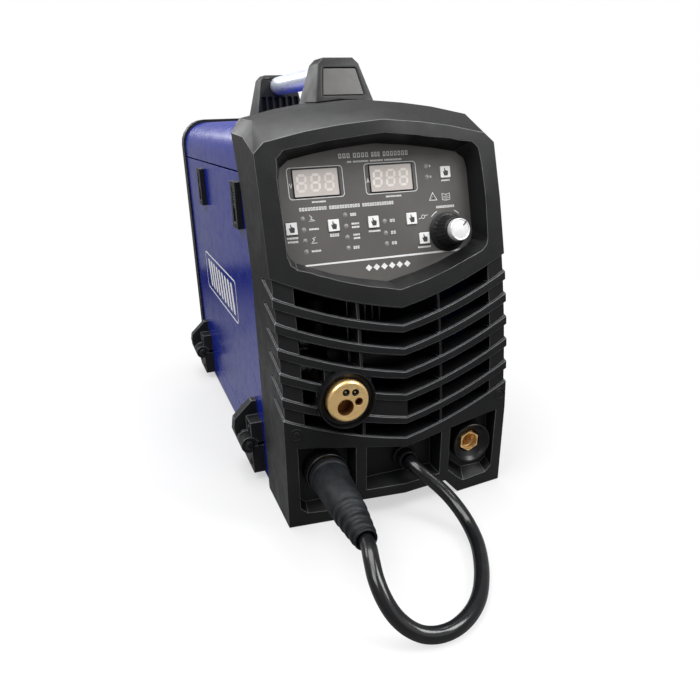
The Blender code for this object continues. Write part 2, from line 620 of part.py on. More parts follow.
def make_sockets():
    flange = ((-10.5, 24.4), (-9.0, 25.4), (-3.0, 25.4), (-3.0, 19.4), (22.0, 19.4), (22.0, 18.9),
              (-5.0, 18.9), (-6.5, 21.2), (-10.5, 23.2))
    turned("euro_flange", (EURO_X, 0, EURO_Z), (0, 1, 0), flange, "black_plastic", 32, ring=True)
    brass = turned("euro_body", (EURO_X, 0, EURO_Z), (0, 1, 0),
                   ((FRONT_LIMIT, 17.4), (FRONT_LIMIT + 1.1, 18.5), (60.0, 18.5)), "brass", 32)
    for name, dx, dz, r, depth in (("wire", -3.5, -6.5, 6.3, 45.0), ("gas", 10.2, 1.0, 2.6, 12.0),
                                   ("pin_a", -1.5, 9.2, 3.5, 14.0), ("pin_b", 7.2, 9.4, 3.5, 14.0)):
        cut(brass, turned(f"cutter_euro_{name}", (EURO_X + dx, 0, EURO_Z + dz), (0, 1, 0),
                          ((FRONT_LIMIT - 5, r), (FRONT_LIMIT + depth, r)), steps=16))
    for side, word in ((-1, "left"), (1, "right")):
        centre = (side * SOCKET_X, 0, SOCKET_Z)
        shell = ((-2.0, 18.2), (-1.0, 19.2), (POCKET_Y - GAP, 19.2), (POCKET_Y - GAP, 14.7), (30.0, 14.7),
                 (30.0, 10.4), (4.0, 10.4), (1.0, 15.6), (-2.0, 17.2))
        turned(f"socket_shell_{word}", centre, (0, 1, 0), shell, "black_plastic", 24, ring=True)
        contact = ((3.5, 9.2), (4.3, 10.0), (36.0, 10.0), (36.0, 3.0), (31.0, 3.0), (31.0, 6.6), (3.5, 6.6))
        turned(f"socket_contact_{word}", centre, (0, 1, 0), contact, "brass", 20, ring=True)
    turned("cable_gland", (GLAND_X, 0, GLAND_Z), (0, 1, 0),
           ((POCKET_Y - GAP, 11.0), (7.5, 11.0), (6.8, 9.6), (1.5, 9.6), (-0.5, 8.8), (-0.5, 7.8), (8.0, 7.8),
            (8.0, 4.0), (25.0, 4.0), (25.0, 7.6), (POCKET_Y - GAP, 7.6)), "black_plastic", 18, ring=True)
    centre = Vector((-SOCKET_X, -2.6, SOCKET_Z))
    sleeve = [(0.0, 16.6), (1.2, 17.8), (7.0, 17.8), (8.2, 16.6), (55.0, 14.4), (58.0, 13.0)]
    for k in range(4):
        start = 60.0 + 9.6 * k
        r = 14.0 - 1.15 * k
        sleeve += [(start, r), (start + 5.6, r - 0.3), (start + 7.4, r - 1.7)]
    sleeve += [(PLUG_LENGTH, 9.4), (PLUG_LENGTH, 7.4), (PLUG_LENGTH - 12.0, 7.4), (PLUG_LENGTH - 12.0, 3.0),
               (17.0, 3.0), (17.0, 7.6), (0.0, 7.6)]
    turned("plug_sleeve", centre, PLUG_AXIS, sleeve, "rubber", 18, ring=True)
    pin = ((-27.0, 5.2), (-26.0, 6.2), (19.0, 6.2))
    turned("plug_contact", (-SOCKET_X, 0, SOCKET_Z), (0, -1, 0), pin, "brass", 24)

    curve = bpy.data.curves.new("polarity_cable", "CURVE")
    curve.dimensions = "3D"
    curve.bevel_depth = CABLE_D / 2 * MM
    curve.bevel_resolution = 3
    curve.render_resolution_u = 0
    curve.use_fill_caps = True
    route = smooth_route(CABLE_ROUTE, 2 * CABLE_D)
    spline = curve.splines.new("POLY")
    spline.points.add(len(route) - 1)
    for point, place_mm in zip(spline.points, route):
        point.co = (*(place_mm * MM), 1.0)
    cable = bpy.data.objects.new("polarity_cable", curve)
    bpy.context.collection.objects.link(cable)
    cable.parent = FRAME
    curve.materials.append(MATS["cable_jacket"])


# ------------------------------------------------------------------------------------------
# door hardware
# ------------------------------------------------------------------------------------------
def make_hinge(word, y0):
    pivot = (HINGE_X, y0, HINGE_Z)
    y1, third = y0 + HINGE_LENGTH, HINGE_LENGTH / 3
    mount_x = -CASE_HALF_W - GAP
    face_x = mount_x - 12.0

    def barrel(name, a, b, radius, material=None):
        return turned(name, (HINGE_X, a, HINGE_Z), (0, 1, 0), ((0, radius), (b - a, radius)), material, 20)

    base = box(f"hinge_base_{word}", (face_x, y0, 8.0), (mount_x, y1, 37.6), "black_plastic")
    fuse(base, barrel(f"base_knuckle_a_{word}", y0 + 0.02, y0 + third, KNUCKLE_R),
         barrel(f"base_knuckle_b_{word}", y1 - third, y1 - 0.02, KNUCKLE_R))
    cut(base, barrel(f"cutter_base_mid_{word}", y0 + third - 0.02, y1 - third + 0.02, KNUCKLE_R + 0.6),
        barrel(f"cutter_base_bore_{word}", y0 - 5, y1 + 5, 3.4))

    leaf = box(f"hinge_leaf_{word}", (face_x, y0, 41.4), (mount_x, y1, 63.0), "black_plastic", pivot)
    cut(leaf, barrel(f"cutter_leaf_a_{word}", y0 - 5, y0 + third + 0.5, KNUCKLE_R + 0.6),
        barrel(f"cutter_leaf_b_{word}", y1 - third - 0.5, y1 + 5, KNUCKLE_R + 0.6))
    lug = ((mount_x, 78.0), (-110.0, 78.0), (-128.6, 61.0), (LEFT_LIMIT, 52.0), (-128.6, 43.5),
           (-122.0, 36.0), (-115.0, 41.6), (mount_x, 41.6))
    fuse(leaf, barrel(f"leaf_knuckle_{word}", y0 + third + 0.5, y1 - third - 0.5, KNUCKLE_R),
         prism(f"leaf_lug_{word}", lug, "Y", y0 + third + 3.0, y1 - third - 3.0))
    cut(leaf, barrel(f"cutter_leaf_bore_{word}", y0 - 5, y1 + 5, 3.4))
    turned(f"hinge_pin_{word}", (HINGE_X, y0 - 0.6, HINGE_Z), (0, 1, 0),
           ((0, 4.6), (0.5, 4.6), (0.5, 3.05), (HINGE_LENGTH + 0.8, 3.05), (HINGE_LENGTH + 0.8, 2.4)),
           "zinc_steel", 20)


def make_latch(word, y):
    pivot = (HINGE_X, 0, HINGE_Z)
    mount_x = -CASE_HALF_W - GAP
    case = box(f"latch_case_{word}", (mount_x - 5.4, y - 11, 250.0), (mount_x, y + 11, 292.0),
               "black_plastic", pivot)
    cut(case, box(f"cutter_latch_{word}", (mount_x - 20, y - 5.0, 255.0), (mount_x - 1.6, y + 5.0, 287.0)))
    tab = box(f"latch_slider_{word}", (mount_x - 4.8, y - 4.4, 268.0), (mount_x - 1.9, y + 4.4, 286.4),
              "black_plastic", (mount_x, y, 277.0))
    cut(tab, box(f"cutter_grip_{word}", (mount_x - 20, y - 2.6, 271.5), (mount_x - 3.4, y + 2.6, 283.0)))


# ------------------------------------------------------------------------------------------
# inside
# ------------------------------------------------------------------------------------------
def make_wire_drive():
    outline = ((92, 78), (168, 78), (172, 90), (172, 150), (164, 156), (96, 128), (92, 120))
    plate = prism("feeder_bracket", outline, "X", -36.0, DIVIDER_X - SHEET / 2 - GAP, "black_plastic")
    cut(plate, turned("cutter_drive_bore", (-40, ROLL_Y, DRIVE_Z), (1, 0, 0), ((0, 8), (30, 8))),
        turned("cutter_arm_bore", (-40, *ARM_PIVOT), (1, 0, 0), ((0, 4.3), (14, 4.3))),
        box("cutter_press_room", (-60, 112, 112), (-35.0, 148, 152)))
    turned("drive_roll", (-60.0, ROLL_Y, DRIVE_Z), (1, 0, 0),
           ((0, 6), (2, 6), (2, DRIVE_R), (7.6, DRIVE_R), (8.5, DRIVE_R - 1.0), (9.4, DRIVE_R), (15, DRIVE_R),
            (15, 6), (38.5, 6)), "zinc_steel", 24, pivot=(0, ROLL_Y, DRIVE_Z))
    turned("pressure_roll", (-58.0, ROLL_Y, PRESS_Z), (1, 0, 0),
           ((0, PRESS_R - 1), (1, PRESS_R), (12, PRESS_R), (13, PRESS_R - 1)), "zinc_steel", 24,
           pivot=(0, ROLL_Y, PRESS_Z))
    outline = ((104, 136), (120, 122), (140, 122), (168, 133), (168, 150), (150, 153), (104, 153))
    arm = prism("pressure_arm", outline, "X", -44.4, -37.4, "black_plastic", (0, *ARM_PIVOT))
    fuse(arm, turned("arm_pivot_pin", (-38.0, *ARM_PIVOT), (1, 0, 0), ((0, 4), (10.6, 4)), steps=20))
    knob_foot = (-41.0, 112, 153.4)
    turned("tension_knob", knob_foot, (0, 0, 1), ((0, 3.2), (4, 3.2), (4, 8.6), (22, 8.6), (24, 7.2)),
           "spool_plastic", 20, pivot=knob_foot)
    turned("feeder_motor", (DIVIDER_X + SHEET / 2 + GAP, ROLL_Y, DRIVE_Z), (1, 0, 0),
           ((0, 10), (6, 10), (6, 27), (30, 27), (30, 24), (82, 24), (82, 9), (86, 9)), "black_steel", 24)
    hub_x = DIVIDER_X - SHEET / 2 - GAP
    turned("spool_hub", (hub_x, SPOOL_Y, SPOOL_Z), (-1, 0, 0),
           ((0, 34), (4, 34), (8, 24.4), (62, 24.4), (64, 22)), "spool_plastic", 24)
    wall = hub_x - 9.0
    turned("wire_spool", (wall, SPOOL_Y, SPOOL_Z), (-1, 0, 0),
           ((0, 25), (0, SPOOL_R), (3, SPOOL_R), (3, 90), (49, 90), (49, SPOOL_R), (52, SPOOL_R), (52, 25)),
           "spool_plastic", 40, ring=True, pivot=(0, SPOOL_Y, SPOOL_Z))
    nut = ((0, 32), (7, 32), (9, 29))
    turned("spool_nut", (hub_x - 64.4, SPOOL_Y, SPOOL_Z), (-1, 0, 0), nut, "spool_plastic", 24)


def make_electronics():
    sink = box("heat_sink", (-14, 190, 96), (70, 330, 104), "aluminium")
    fins = []
    for x in range(-13, 68, 9):
        outline = ((x, 190.02), (x + 2.4, 190.02), (x + 2.4, 329.98), (x, 329.98))
        fins.append(block_shape([[(a, b, z) for a, b in outline] for z in (103.0, 140.0)]))
    fuse(sink, combine("sink_fins", fins))
    box("power_board", (84.0, 110, 40), (85.8, 440, 300), "board_green")
    core = box("main_transformer", (4, 356, 8), (68, 420, 60), "black_steel")
    fuse(core, box("transformer_coil", (14, 346, 16), (58, 430, 52)))
    f = 46.0
    frame = box("fan_frame", (FAN_X - f, 450, FAN_Z - f), (FAN_X + f, 475, FAN_Z + f), "black_plastic")
    cut(frame, turned("cutter_fan", (FAN_X, 440, FAN_Z), (0, 1, 0), ((0, 44.0), (40, 44.0)), steps=40))
    strut = box("fan_strut", (FAN_X - f + 0.5, 451, FAN_Z - 4), (FAN_X + f - 0.5, 455, FAN_Z + 4))
    mount = turned("fan_motor_mount", (FAN_X, 450.5, FAN_Z), (0, 1, 0), ((0, 17), (5, 17)), steps=24)
    fuse(frame, strut, mount)
    rotor = turned("fan_rotor", (FAN_X, 456.2, FAN_Z), (0, 1, 0), ((0, 17.5), (15, 17.5), (16.5, 15.5)),
                   "black_plastic", 28, pivot=(FAN_X, 464, FAN_Z))
    blades = []
    for k in range(FAN_BLADES):
        turn = Matrix.Rotation(2 * math.pi * k / FAN_BLADES, 4, "Y")
        rings = []
        for radius, half in ((15.0, 8.0), (41.5, 12.2)):
            section = ((-half, -5.0), (-half, -3.4), (half, 5.0), (half, 3.4))
            rings.append([tuple(turn @ Vector((a, b, radius)) + Vector((FAN_X, 464.5, FAN_Z)))
                          for a, b in section])
        blades.append(block_shape(rings))
    fuse(rotor, combine("fan_blades", blades))


def make_rear_fittings():
    case = box("power_switch_case", (-76.0, BACK - 22, 274.0), (-44.0, BACK - 0.5, 296.0), "black_plastic")
    fuse(case, box("switch_bezel", (-78.0, BACK + GAP, 272.0), (-42.0, BACK + 2.2, 298.0)),
         box("switch_neck", (-75.9, BACK - 1.0, 274.1), (-44.1, BACK + 1.0, 295.9)))
    cut(case, box("cutter_rocker", (-72.5, BACK - 9.0, 277.0), (-47.5, BACK + 10, 293.0)))
    rocker = ((-11.6, -3.0), (-11.6, 3.6), (0.0, 0.8), (11.6, 3.6), (11.6, -3.0))
    pivot = Vector((-60.0, BACK - 1.0, 285.0))
    verts = [[(pivot.x + a, pivot.y + b, z) for a, b in rocker] for z in (277.6, 292.4)]
    rocker_piece = loft("power_rocker", verts, "black_plastic", pivot)
    rocker_piece.rotation_euler.z = math.radians(-ROCKER_TILT)
    turned("mains_gland", (-60, BACK, 100), (0, 1, 0),
           ((-16, 11.9), (GAP, 11.9), (GAP, 17), (6, 17), (7, 14.5), (14, 13.5), (17, 11), (17, 6), (-16, 6)),
           "black_plastic", 20, ring=True)
    turned("gas_nipple", (-60, BACK, 160), (0, 1, 0),
           ((-4, 6.0), (GAP, 6.0), (GAP, 9.0), (6, 9.0), (7, 4.6), (13, 4.2), (15, 5.0), (19, 4.2), (21, 5.0),
            (BACK_LIMIT - BACK, 4.0), (BACK_LIMIT - BACK, 2.2), (-4, 2.2)), "brass", 16, ring=True)
    valve = box("gas_valve", (-78, 430, 144), (-42, 474, 176), "black_steel")
    fuse(valve, turned("valve_coil", (-60, 446, 175), (0, 0, 1), ((0, 14), (34, 14)), steps=24))
    cut(valve, turned("cutter_valve_port", (-60, 440, 160), (0, 1, 0), ((0, 7.5), (60, 7.5)), steps=20))


clear_scene()
MATS = make_materials()
FRAME = bpy.data.objects.new("model_frame", None)
bpy.context.collection.objects.link(FRAME)
FRAME.location = -ORIGIN * MM

make_front_bezel()
make_case()
make_door()
make_rear_bezel()
make_handle()
make_panel()
make_sockets()
for hinge_word, hinge_y in HINGE_FRONTS.items():
    make_hinge(hinge_word, hinge_y)
for latch_word, latch_y in LATCH_YS.items():
    make_latch(latch_word, latch_y)
make_wire_drive()
make_electronics()
make_rear_fittings()
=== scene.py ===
"""Looks of the MIG welding machine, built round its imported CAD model.

Lengths are in millimetres in the machine's own frame: x from the mid-plane, y backwards from
the front edge of the case, z up from the floor. at() turns them into metres in the row frame.
"""

import json
import math

import bmesh
import bpy
from mathutils import Matrix, Vector


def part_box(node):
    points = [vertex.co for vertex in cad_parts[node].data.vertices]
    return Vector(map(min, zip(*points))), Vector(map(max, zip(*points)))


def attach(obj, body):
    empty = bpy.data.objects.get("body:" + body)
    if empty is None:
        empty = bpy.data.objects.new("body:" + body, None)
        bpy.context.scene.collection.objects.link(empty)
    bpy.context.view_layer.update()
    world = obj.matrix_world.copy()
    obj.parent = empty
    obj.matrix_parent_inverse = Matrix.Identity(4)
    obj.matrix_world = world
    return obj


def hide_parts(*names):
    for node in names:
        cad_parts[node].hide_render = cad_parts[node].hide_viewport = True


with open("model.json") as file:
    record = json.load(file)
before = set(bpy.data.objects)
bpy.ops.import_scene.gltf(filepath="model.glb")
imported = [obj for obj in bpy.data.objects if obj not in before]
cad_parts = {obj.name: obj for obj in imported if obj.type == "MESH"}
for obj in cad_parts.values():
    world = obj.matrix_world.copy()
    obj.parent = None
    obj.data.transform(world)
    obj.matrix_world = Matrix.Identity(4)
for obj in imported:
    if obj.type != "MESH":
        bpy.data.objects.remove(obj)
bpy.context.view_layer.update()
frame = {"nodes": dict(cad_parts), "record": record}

MM = 0.001
BACK = 483.0                  # rear face of the rear moulding
CASE_HALF_W = 104.5
DOOR_FACE = -CASE_HALF_W - 0.3    # what the hinges and latches are mounted on
PANEL_Y, PANEL_Z = 32.0, 231.0
PANEL_LEAN = 0.226            # how far the panel goes back for each millimetre of height
INWARDS = (0, 1, 0)

front_low, front_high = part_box("front_bezel")
SHIFT = Vector(((front_low.x + front_high.x) / 2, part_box("rear_bezel")[1].y - BACK * MM, 0.0))


def at(x, y, z):
    return SHIFT + Vector((x, y, z)) * MM


# ------------------------------------------------------------------------------------------
# materials
# ------------------------------------------------------------------------------------------
class Surface:
    """A Principled material and the few nodes that its detail is made of."""

    def __init__(self, name, colour, roughness, metallic=0.0, **inputs):
        self.mat = bpy.data.materials.new(name)
        self.mat.use_nodes = True
        self.tree = self.mat.node_tree
        self.shader = self.tree.nodes["Principled BSDF"]
        self.set("Base Color", (*colour, 1.0))
        self.set("Roughness", roughness)
        self.set("Metallic", metallic)
        for key, value in inputs.items():
            self.set(key.replace("_", " "), value)
        self.colour, self.height = colour, None
        self.coords = self.node("ShaderNodeTexCoord").outputs["Object"]
        self.mat.diffuse_color = (*colour, 1.0)

    def set(self, socket, value):
        self.shader.inputs[socket].default_value = value

    def node(self, kind, **settings):
        made = self.tree.nodes.new(kind)
        for key, value in settings.items():
            setattr(made, key, value)
        return made

    def link(self, source, target):
        self.tree.links.new(source, target)

    def stretched(self, x=1.0, y=1.0, z=1.0):
        node = self.node("ShaderNodeMapping")
        node.inputs["Scale"].default_value = (x, y, z)
        self.link(self.coords, node.inputs["Vector"])
        return node.outputs["Vector"]

    def noise(self, per_metre, detail=2.0, rough=0.5, coords=None):
        node = self.node("ShaderNodeTexNoise")
        node.inputs["Scale"].default_value = per_metre
        node.inputs["Detail"].default_value = detail
        node.inputs["Roughness"].default_value = rough
        self.link(coords or self.coords, node.inputs["Vector"])
        return node.outputs["Fac"]

    def spots(self, per_metre):
        node = self.node("ShaderNodeTexVoronoi")
        node.inputs["Scale"].default_value = per_metre
        self.link(self.coords, node.inputs["Vector"])
        return node.outputs["Distance"]

    def remap(self, value, low, high, to_low, to_high):
        node = self.node("ShaderNodeMapRange")
        limits = {"From Min": low, "From Max": high, "To Min": to_low, "To Max": to_high}
        for key, number in limits.items():
            node.inputs[key].default_value = number
        self.link(value, node.inputs["Value"])
        return node.outputs["Result"]

    def vary_colour(self, value, low, high, other):
        """Blends the base colour into another as value goes from low to high."""
        share = self.remap(value, low, high, 0.0, 1.0)
        mix = self.node("ShaderNodeMix", data_type="RGBA")
        self.link(share, mix.inputs["Factor"])
        current = self.shader.inputs["Base Color"]
        if current.is_linked:
            self.link(current.links[0].from_socket, mix.inputs["A"])
        else:
            mix.inputs["A"].default_value = (*self.colour, 1.0)
        mix.inputs["B"].default_value = (*other, 1.0)
        self.link(mix.outputs["Result"], current)
        return self

    def vary_roughness(self, value, low, high, to_low, to_high):
        self.link(self.remap(value, low, high, to_low, to_high), self.shader.inputs["Roughness"])
        return self

    def bump(self, value, depth_mm):
        node = self.node("ShaderNodeBump")
        node.inputs["Distance"].default_value = depth_mm * MM
        self.link(value, node.inputs["Height"])
        if self.height:
            self.link(self.height, node.inputs["Normal"])
        self.height = node.outputs["Normal"]
        self.link(self.height, self.shader.inputs["Normal"])
        return self


def moulded(name, colour, roughness):
    """Injection-moulded plastic with a fine spark-eroded grain."""
    s = Surface(name, colour, roughness, Specular_IOR_Level=0.28)
    fine = s.noise(1900.0, 3.0, 0.6)
    broad = s.noise(14.0, 3.0, 0.55)
    s.vary_colour(broad, 0.42, 0.72, tuple(c * 1.18 for c in colour))
    s.vary_colour(s.spots(900.0), 0.55, 0.9, tuple(c * 1.5 for c in colour))
    s.vary_roughness(s.noise(55.0, 4.0, 0.6), 0.3, 0.7, roughness - 0.07, roughness + 0.09)
    return s.bump(fine, 0.05)


def make_materials():
    made = {}
    made["black_plastic"] = moulded("black_plastic", (0.007, 0.0072, 0.0077), 0.44)
    # lighter black for the thin rounded edges of black mouldings: a painted highlight along them
    made["black_plastic_painted_highlight"] = moulded("black_plastic_painted_highlight", (0.1, 0.102, 0.107), 0.32)
    made["spool_plastic"] = moulded("spool_plastic", (0.022, 0.023, 0.026), 0.42)

    s = Surface("blue_paint", (0.004, 0.014, 0.2), 0.22, Specular_IOR_Level=0.26)
    peel = s.noise(210.0, 2.0, 0.5)
    s.vary_colour(s.noise(7.0, 3.0, 0.6), 0.35, 0.75, (0.009, 0.018, 0.24))
    s.vary_roughness(s.noise(90.0, 3.0, 0.6), 0.3, 0.7, 0.16, 0.28)
    s.bump(s.noise(130.0, 2.0, 0.5, s.stretched(1.0, 0.45, 1.0)), 0.09).bump(peel, 0.03)
    made["blue_paint"] = s

    s = Surface("black_steel", (0.012, 0.012, 0.013), 0.42, 0.3)
    s.vary_roughness(s.noise(120.0, 4.0, 0.6), 0.3, 0.7, 0.34, 0.55).bump(s.noise(700.0, 2.0), 0.03)
    made["black_steel"] = s

    s = Surface("zinc_steel", (0.56, 0.57, 0.6), 0.34, 1.0)
    s.vary_colour(s.spots(60.0), 0.2, 0.7, (0.4, 0.42, 0.46))
    s.vary_roughness(s.noise(300.0, 4.0, 0.6, s.stretched(1.0, 0.05, 1.0)), 0.3, 0.7, 0.25, 0.48)
    s.bump(s.noise(900.0, 3.0, 0.6, s.stretched(1.0, 0.08, 1.0)), 0.01)
    made["zinc_steel"] = s

    s = Surface("anodised_tube", (0.76, 0.8, 0.88), 0.4, 0.6)
    lines = s.noise(1500.0, 3.0, 0.6, s.stretched(1.0, 0.02, 1.0))
    s.vary_roughness(lines, 0.3, 0.7, 0.24, 0.4).vary_colour(s.noise(9.0), 0.4, 0.7, (0.74, 0.78, 0.88))
    s.bump(lines, 0.006)
    made["anodised_tube"] = s

    s = Surface("panel_film", (0.08, 0.074, 0.07), 0.3, 0.0, Specular_IOR_Level=0.6)
    s.vary_colour(s.noise(18.0, 3.0, 0.6), 0.35, 0.75, (0.104, 0.097, 0.091))
    s.vary_roughness(s.noise(60.0, 4.0, 0.6), 0.3, 0.7, 0.3, 0.42).bump(s.noise(700.0, 2.0), 0.006)
    made["panel_film"] = s

    s = Surface("display_lens", (0.56, 0.51, 0.48), 0.16, 0.0, Coat_Weight=0.6, Coat_Roughness=0.08)
    s.vary_colour(s.noise(30.0, 2.0), 0.35, 0.7, (0.64, 0.58, 0.55))
    s.vary_roughness(s.noise(120.0, 2.0), 0.3, 0.7, 0.12, 0.24)
    made["display_lens"] = s

    s = Surface("white_button", (0.83, 0.83, 0.82), 0.36)
    s.vary_colour(s.noise(160.0, 3.0), 0.4, 0.75, (0.74, 0.74, 0.72))
    s.vary_roughness(s.noise(400.0, 2.0), 0.3, 0.7, 0.3, 0.46).bump(s.noise(2200.0, 2.0), 0.01)
    made["white_button"] = s

    s = Surface("brass", (0.98, 0.68, 0.31), 0.3, 0.62)
    wear = s.noise(180.0, 3.0, 0.6)
    s.vary_colour(s.noise(60.0, 3.0, 0.6), 0.35, 0.75, (0.86, 0.55, 0.22))
    s.vary_roughness(wear, 0.3, 0.7, 0.19, 0.3).bump(wear, 0.004)
    made["brass"] = s

    s = Surface("rubber", (0.004, 0.005, 0.0064), 0.5, 0.0, Specular_IOR_Level=0.24)
    s.vary_colour(s.noise(45.0, 5.0, 0.65), 0.45, 0.75, (0.015, 0.0175, 0.021))
    s.vary_roughness(s.noise(80.0, 5.0, 0.65), 0.3, 0.7, 0.42, 0.68)
    s.bump(s.noise(350.0, 4.0, 0.6), 0.08).bump(s.noise(2000.0, 2.0), 0.02)
    made["rubber"] = s

    s = Surface("cable_jacket", (0.006, 0.0062, 0.007), 0.22, 0.0, Specular_IOR_Level=0.5)
    s.vary_colour(s.noise(70.0, 4.0, 0.6), 0.5, 0.8, (0.01, 0.0104, 0.0114))
    s.vary_roughness(s.noise(110.0, 4.0, 0.6), 0.3, 0.7, 0.15, 0.24).bump(s.noise(120.0, 2.0), 0.02)
    made["cable_jacket"] = s

    s = Surface("silver_cap", (0.9, 0.9, 0.91), 0.4, 0.55)
    s.vary_colour(s.noise(120.0, 3.0, 0.6), 0.4, 0.75, (0.8, 0.8, 0.81))
    s.vary_roughness(s.noise(300.0, 3.0, 0.6), 0.3, 0.7, 0.34, 0.46)
    made["silver_cap"] = s

    s = Surface("board_green", (0.012, 0.085, 0.04), 0.4)
    s.vary_colour(s.noise(260.0, 1.0), 0.52, 0.56, (0.02, 0.12, 0.06)).bump(s.spots(420.0), 0.05)
    made["board_green"] = s

    s = Surface("aluminium", (0.7, 0.71, 0.73), 0.32, 1.0)
    lines = s.noise(1100.0, 3.0, 0.6, s.stretched(1.0, 0.03, 1.0))
    s.vary_roughness(lines, 0.3, 0.7, 0.26, 0.46).bump(lines, 0.01)
    made["aluminium"] = s
    return made


# ------------------------------------------------------------------------------------------
# objects, meshes and edges
# ------------------------------------------------------------------------------------------
EDGE_ANGLE = 28.0             # degrees; sharper corners than this are rounded
SMOOTH_ANGLE = 32.0           # degrees; corners below this are shaded smooth where none is rounded
WELD_GAP = 0.02               # points of a CAD node closer than this are one point


def new_object(name, data):
    obj = bpy.data.objects.new(name, data)
    bpy.context.collection.objects.link(obj)
    return obj


def solid_mesh(name, verts, faces):
    """A mesh from points in metres, with every face turned outwards."""
    mesh = bpy.data.meshes.new(name)
    mesh.from_pydata(verts, [], faces)
    bm = bmesh.new()
    bm.from_mesh(mesh)
    bmesh.ops.recalc_face_normals(bm, faces=bm.faces)
    bm.to_mesh(mesh)
    bm.free()
    return mesh


def round_edges(obj, width_mm):
    """Small rounded edges in real geometry; black mouldings are lighter along them, a painted highlight on
    the thin roundings.
    """
    bevel = obj.modifiers.new("edges", "BEVEL")
    # thin roundings on black mouldings take the lighter colour as a painted highlight
    if obj.data.materials[0] == MATS["black_plastic"] and width_mm < 0.5:
        obj.data.materials.append(MATS["black_plastic_painted_highlight"])
        bevel.material = 1
    bevel.width = width_mm * MM
    bevel.segments = 2
    bevel.limit_method = "ANGLE"
    bevel.angle_limit = math.radians(EDGE_ANGLE)
    bevel.use_clamp_overlap = False
    bevel.miter_outer = "MITER_ARC"
    weighted = obj.modifiers.new("normals", "WEIGHTED_NORMAL")
    weighted.mode = "FACE_AREA_WITH_ANGLE"
    weighted.weight = 80


def finish_cad_node(obj, width_mm):
    """Joins the CAD node's loose triangles and rounds its edges, by modifiers only."""
    if "custom_normal" in obj.data.attributes:
        obj.data.attributes.remove(obj.data.attributes["custom_normal"])
    for attribute in ("sharp_edge", "sharp_face"):
        if attribute in obj.data.attributes:
            obj.data.attributes.remove(obj.data.attributes[attribute])
    weld = obj.modifiers.new("weld", "WELD")
    weld.merge_threshold = WELD_GAP * MM
    round_edges(obj, width_mm)


MATS = {name: surface.mat for name, surface in make_materials().items()}
EDGES = {"front_bezel": 0.3, "cover_shell": 0.3, "handle_front_post": 1.1, "handle_rear_post": 0.9}
EDGE_ELSEWHERE = 0.4
for row in frame["record"]["subparts"]:
    node = frame["nodes"][row["node"]]
    node.material_slots[0].material = MATS[row["material_slot"]]
    finish_cad_node(node, EDGES.get(row["node"], EDGE_ELSEWHERE))


# ------------------------------------------------------------------------------------------
# solids, in millimetres
# ------------------------------------------------------------------------------------------
def joined(solids):
    verts, faces = [], []
    for solid_verts, solid_faces in solids:
        faces += [[i + len(verts) for i in face] for face in solid_faces]
        verts += solid_verts
    return verts, faces


def loft(rings, closed=False):
    """A solid through equal rings of points; closed=True joins the last ring to the first."""
    n, count = len(rings[0]), len(rings)
    verts = [Vector(p) for ring in rings for p in ring]
    faces = [] if closed else [list(range(n)), list(range(len(verts) - n, len(verts)))]
    for r in range(count if closed else count - 1):
        s = (r + 1) % count
        for i in range(n):
            j = (i + 1) % n
            faces.append([r * n + i, r * n + j, s * n + j, s * n + i])
    return verts, faces


def axes_of(axis):
    """The unit axis and two directions square to it."""
    axis = Vector(axis).normalized()
    side = axis.cross(Vector((0, 0, 1)) if abs(axis.z) < 0.9 else Vector((1, 0, 0))).normalized()
    return axis, side, side.cross(axis)


def lathe(centre, axis, profile, steps=72, ring=False, flutes=None):
    """Revolves (distance along axis, radius) pairs; flutes is (count, depth, from, to)."""
    centre = Vector(centre)
    axis, side, up = axes_of(axis)
    rings = []
    for along, radius in profile:
        points = []
        for k in range(steps):
            angle = 2 * math.pi * (k + 0.5) / steps
            r = radius
            if flutes and flutes[2] <= along <= flutes[3]:
                r -= flutes[1] * (0.5 - 0.5 * math.cos(flutes[0] * angle))
            points.append(centre + axis * along + (side * math.cos(angle) + up * math.sin(angle)) * r)
        rings.append(points)
    return loft(rings, closed=ring)


def sketch_slab(outline, origin, axis, low, high):
    """A flat outline in the plane square to axis, made solid from low to high along the axis."""
    origin = Vector(origin)
    axis, side, up = axes_of(axis)
    return loft([[origin + side * a + up * b + axis * t for a, b in outline] for t in (low, high)])


def block(low, high):
    """A box between two opposite corners."""
    (x0, y0, z0), (x1, y1, z1) = low, high
    return loft([[(x0, y0, z), (x1, y0, z), (x1, y1, z), (x0, y1, z)] for z in (z0, z1)])


def arc(x, z, radius, start, end, steps):
    angles = [start + (end - start) * k / steps for k in range(steps + 1)]
    return [(x + radius * math.cos(a), z + radius * math.sin(a)) for a in angles]


def polygon(x, z, radius, sides, turn=0.0):
    return arc(x, z, radius, turn, turn + 2 * math.pi, sides)[:-1]


def rounded_rect(x, z, w, h, radius, steps=5):
    points = []
    for quarter, (sx, sz) in enumerate(((1, 1), (-1, 1), (-1, -1), (1, -1))):
        start = math.pi / 2 * quarter
        points += arc(x + sx * (w / 2 - radius), z + sz * (h / 2 - radius), radius,
                      start, start + math.pi / 2, steps)
    return points


def rectangle(x0, x1, z0, z1):
    return [(x0, z0), (x1, z0), (x1, z1), (x0, z1)]


def stroke(points, width, closed=False):
    """Outlines of the short quads that make a line of the given width along flat points."""
    pts = [Vector(p) for p in points]
    n = len(pts)
    left, right = [], []
    for i, p in enumerate(pts):
        before = pts[i - 1] if (i > 0 or closed) else p - (pts[i + 1] - p)
        after = pts[(i + 1) % n] if (i < n - 1 or closed) else p + (p - pts[i - 1])
        onward = (after - p).normalized()
        d = ((p - before).normalized() + onward).normalized()
        normal = Vector((-d.y, d.x))
        reach = width / 2 / max(0.5, abs(normal.dot(Vector((-onward.y, onward.x)))))
        left.append(p + normal * reach)
        right.append(p - normal * reach)
    quads = []
    for i in range(n if closed else n - 1):
        j = (i + 1) % n
        quads.append([left[i], left[j], right[j], right[i]])
    return quads


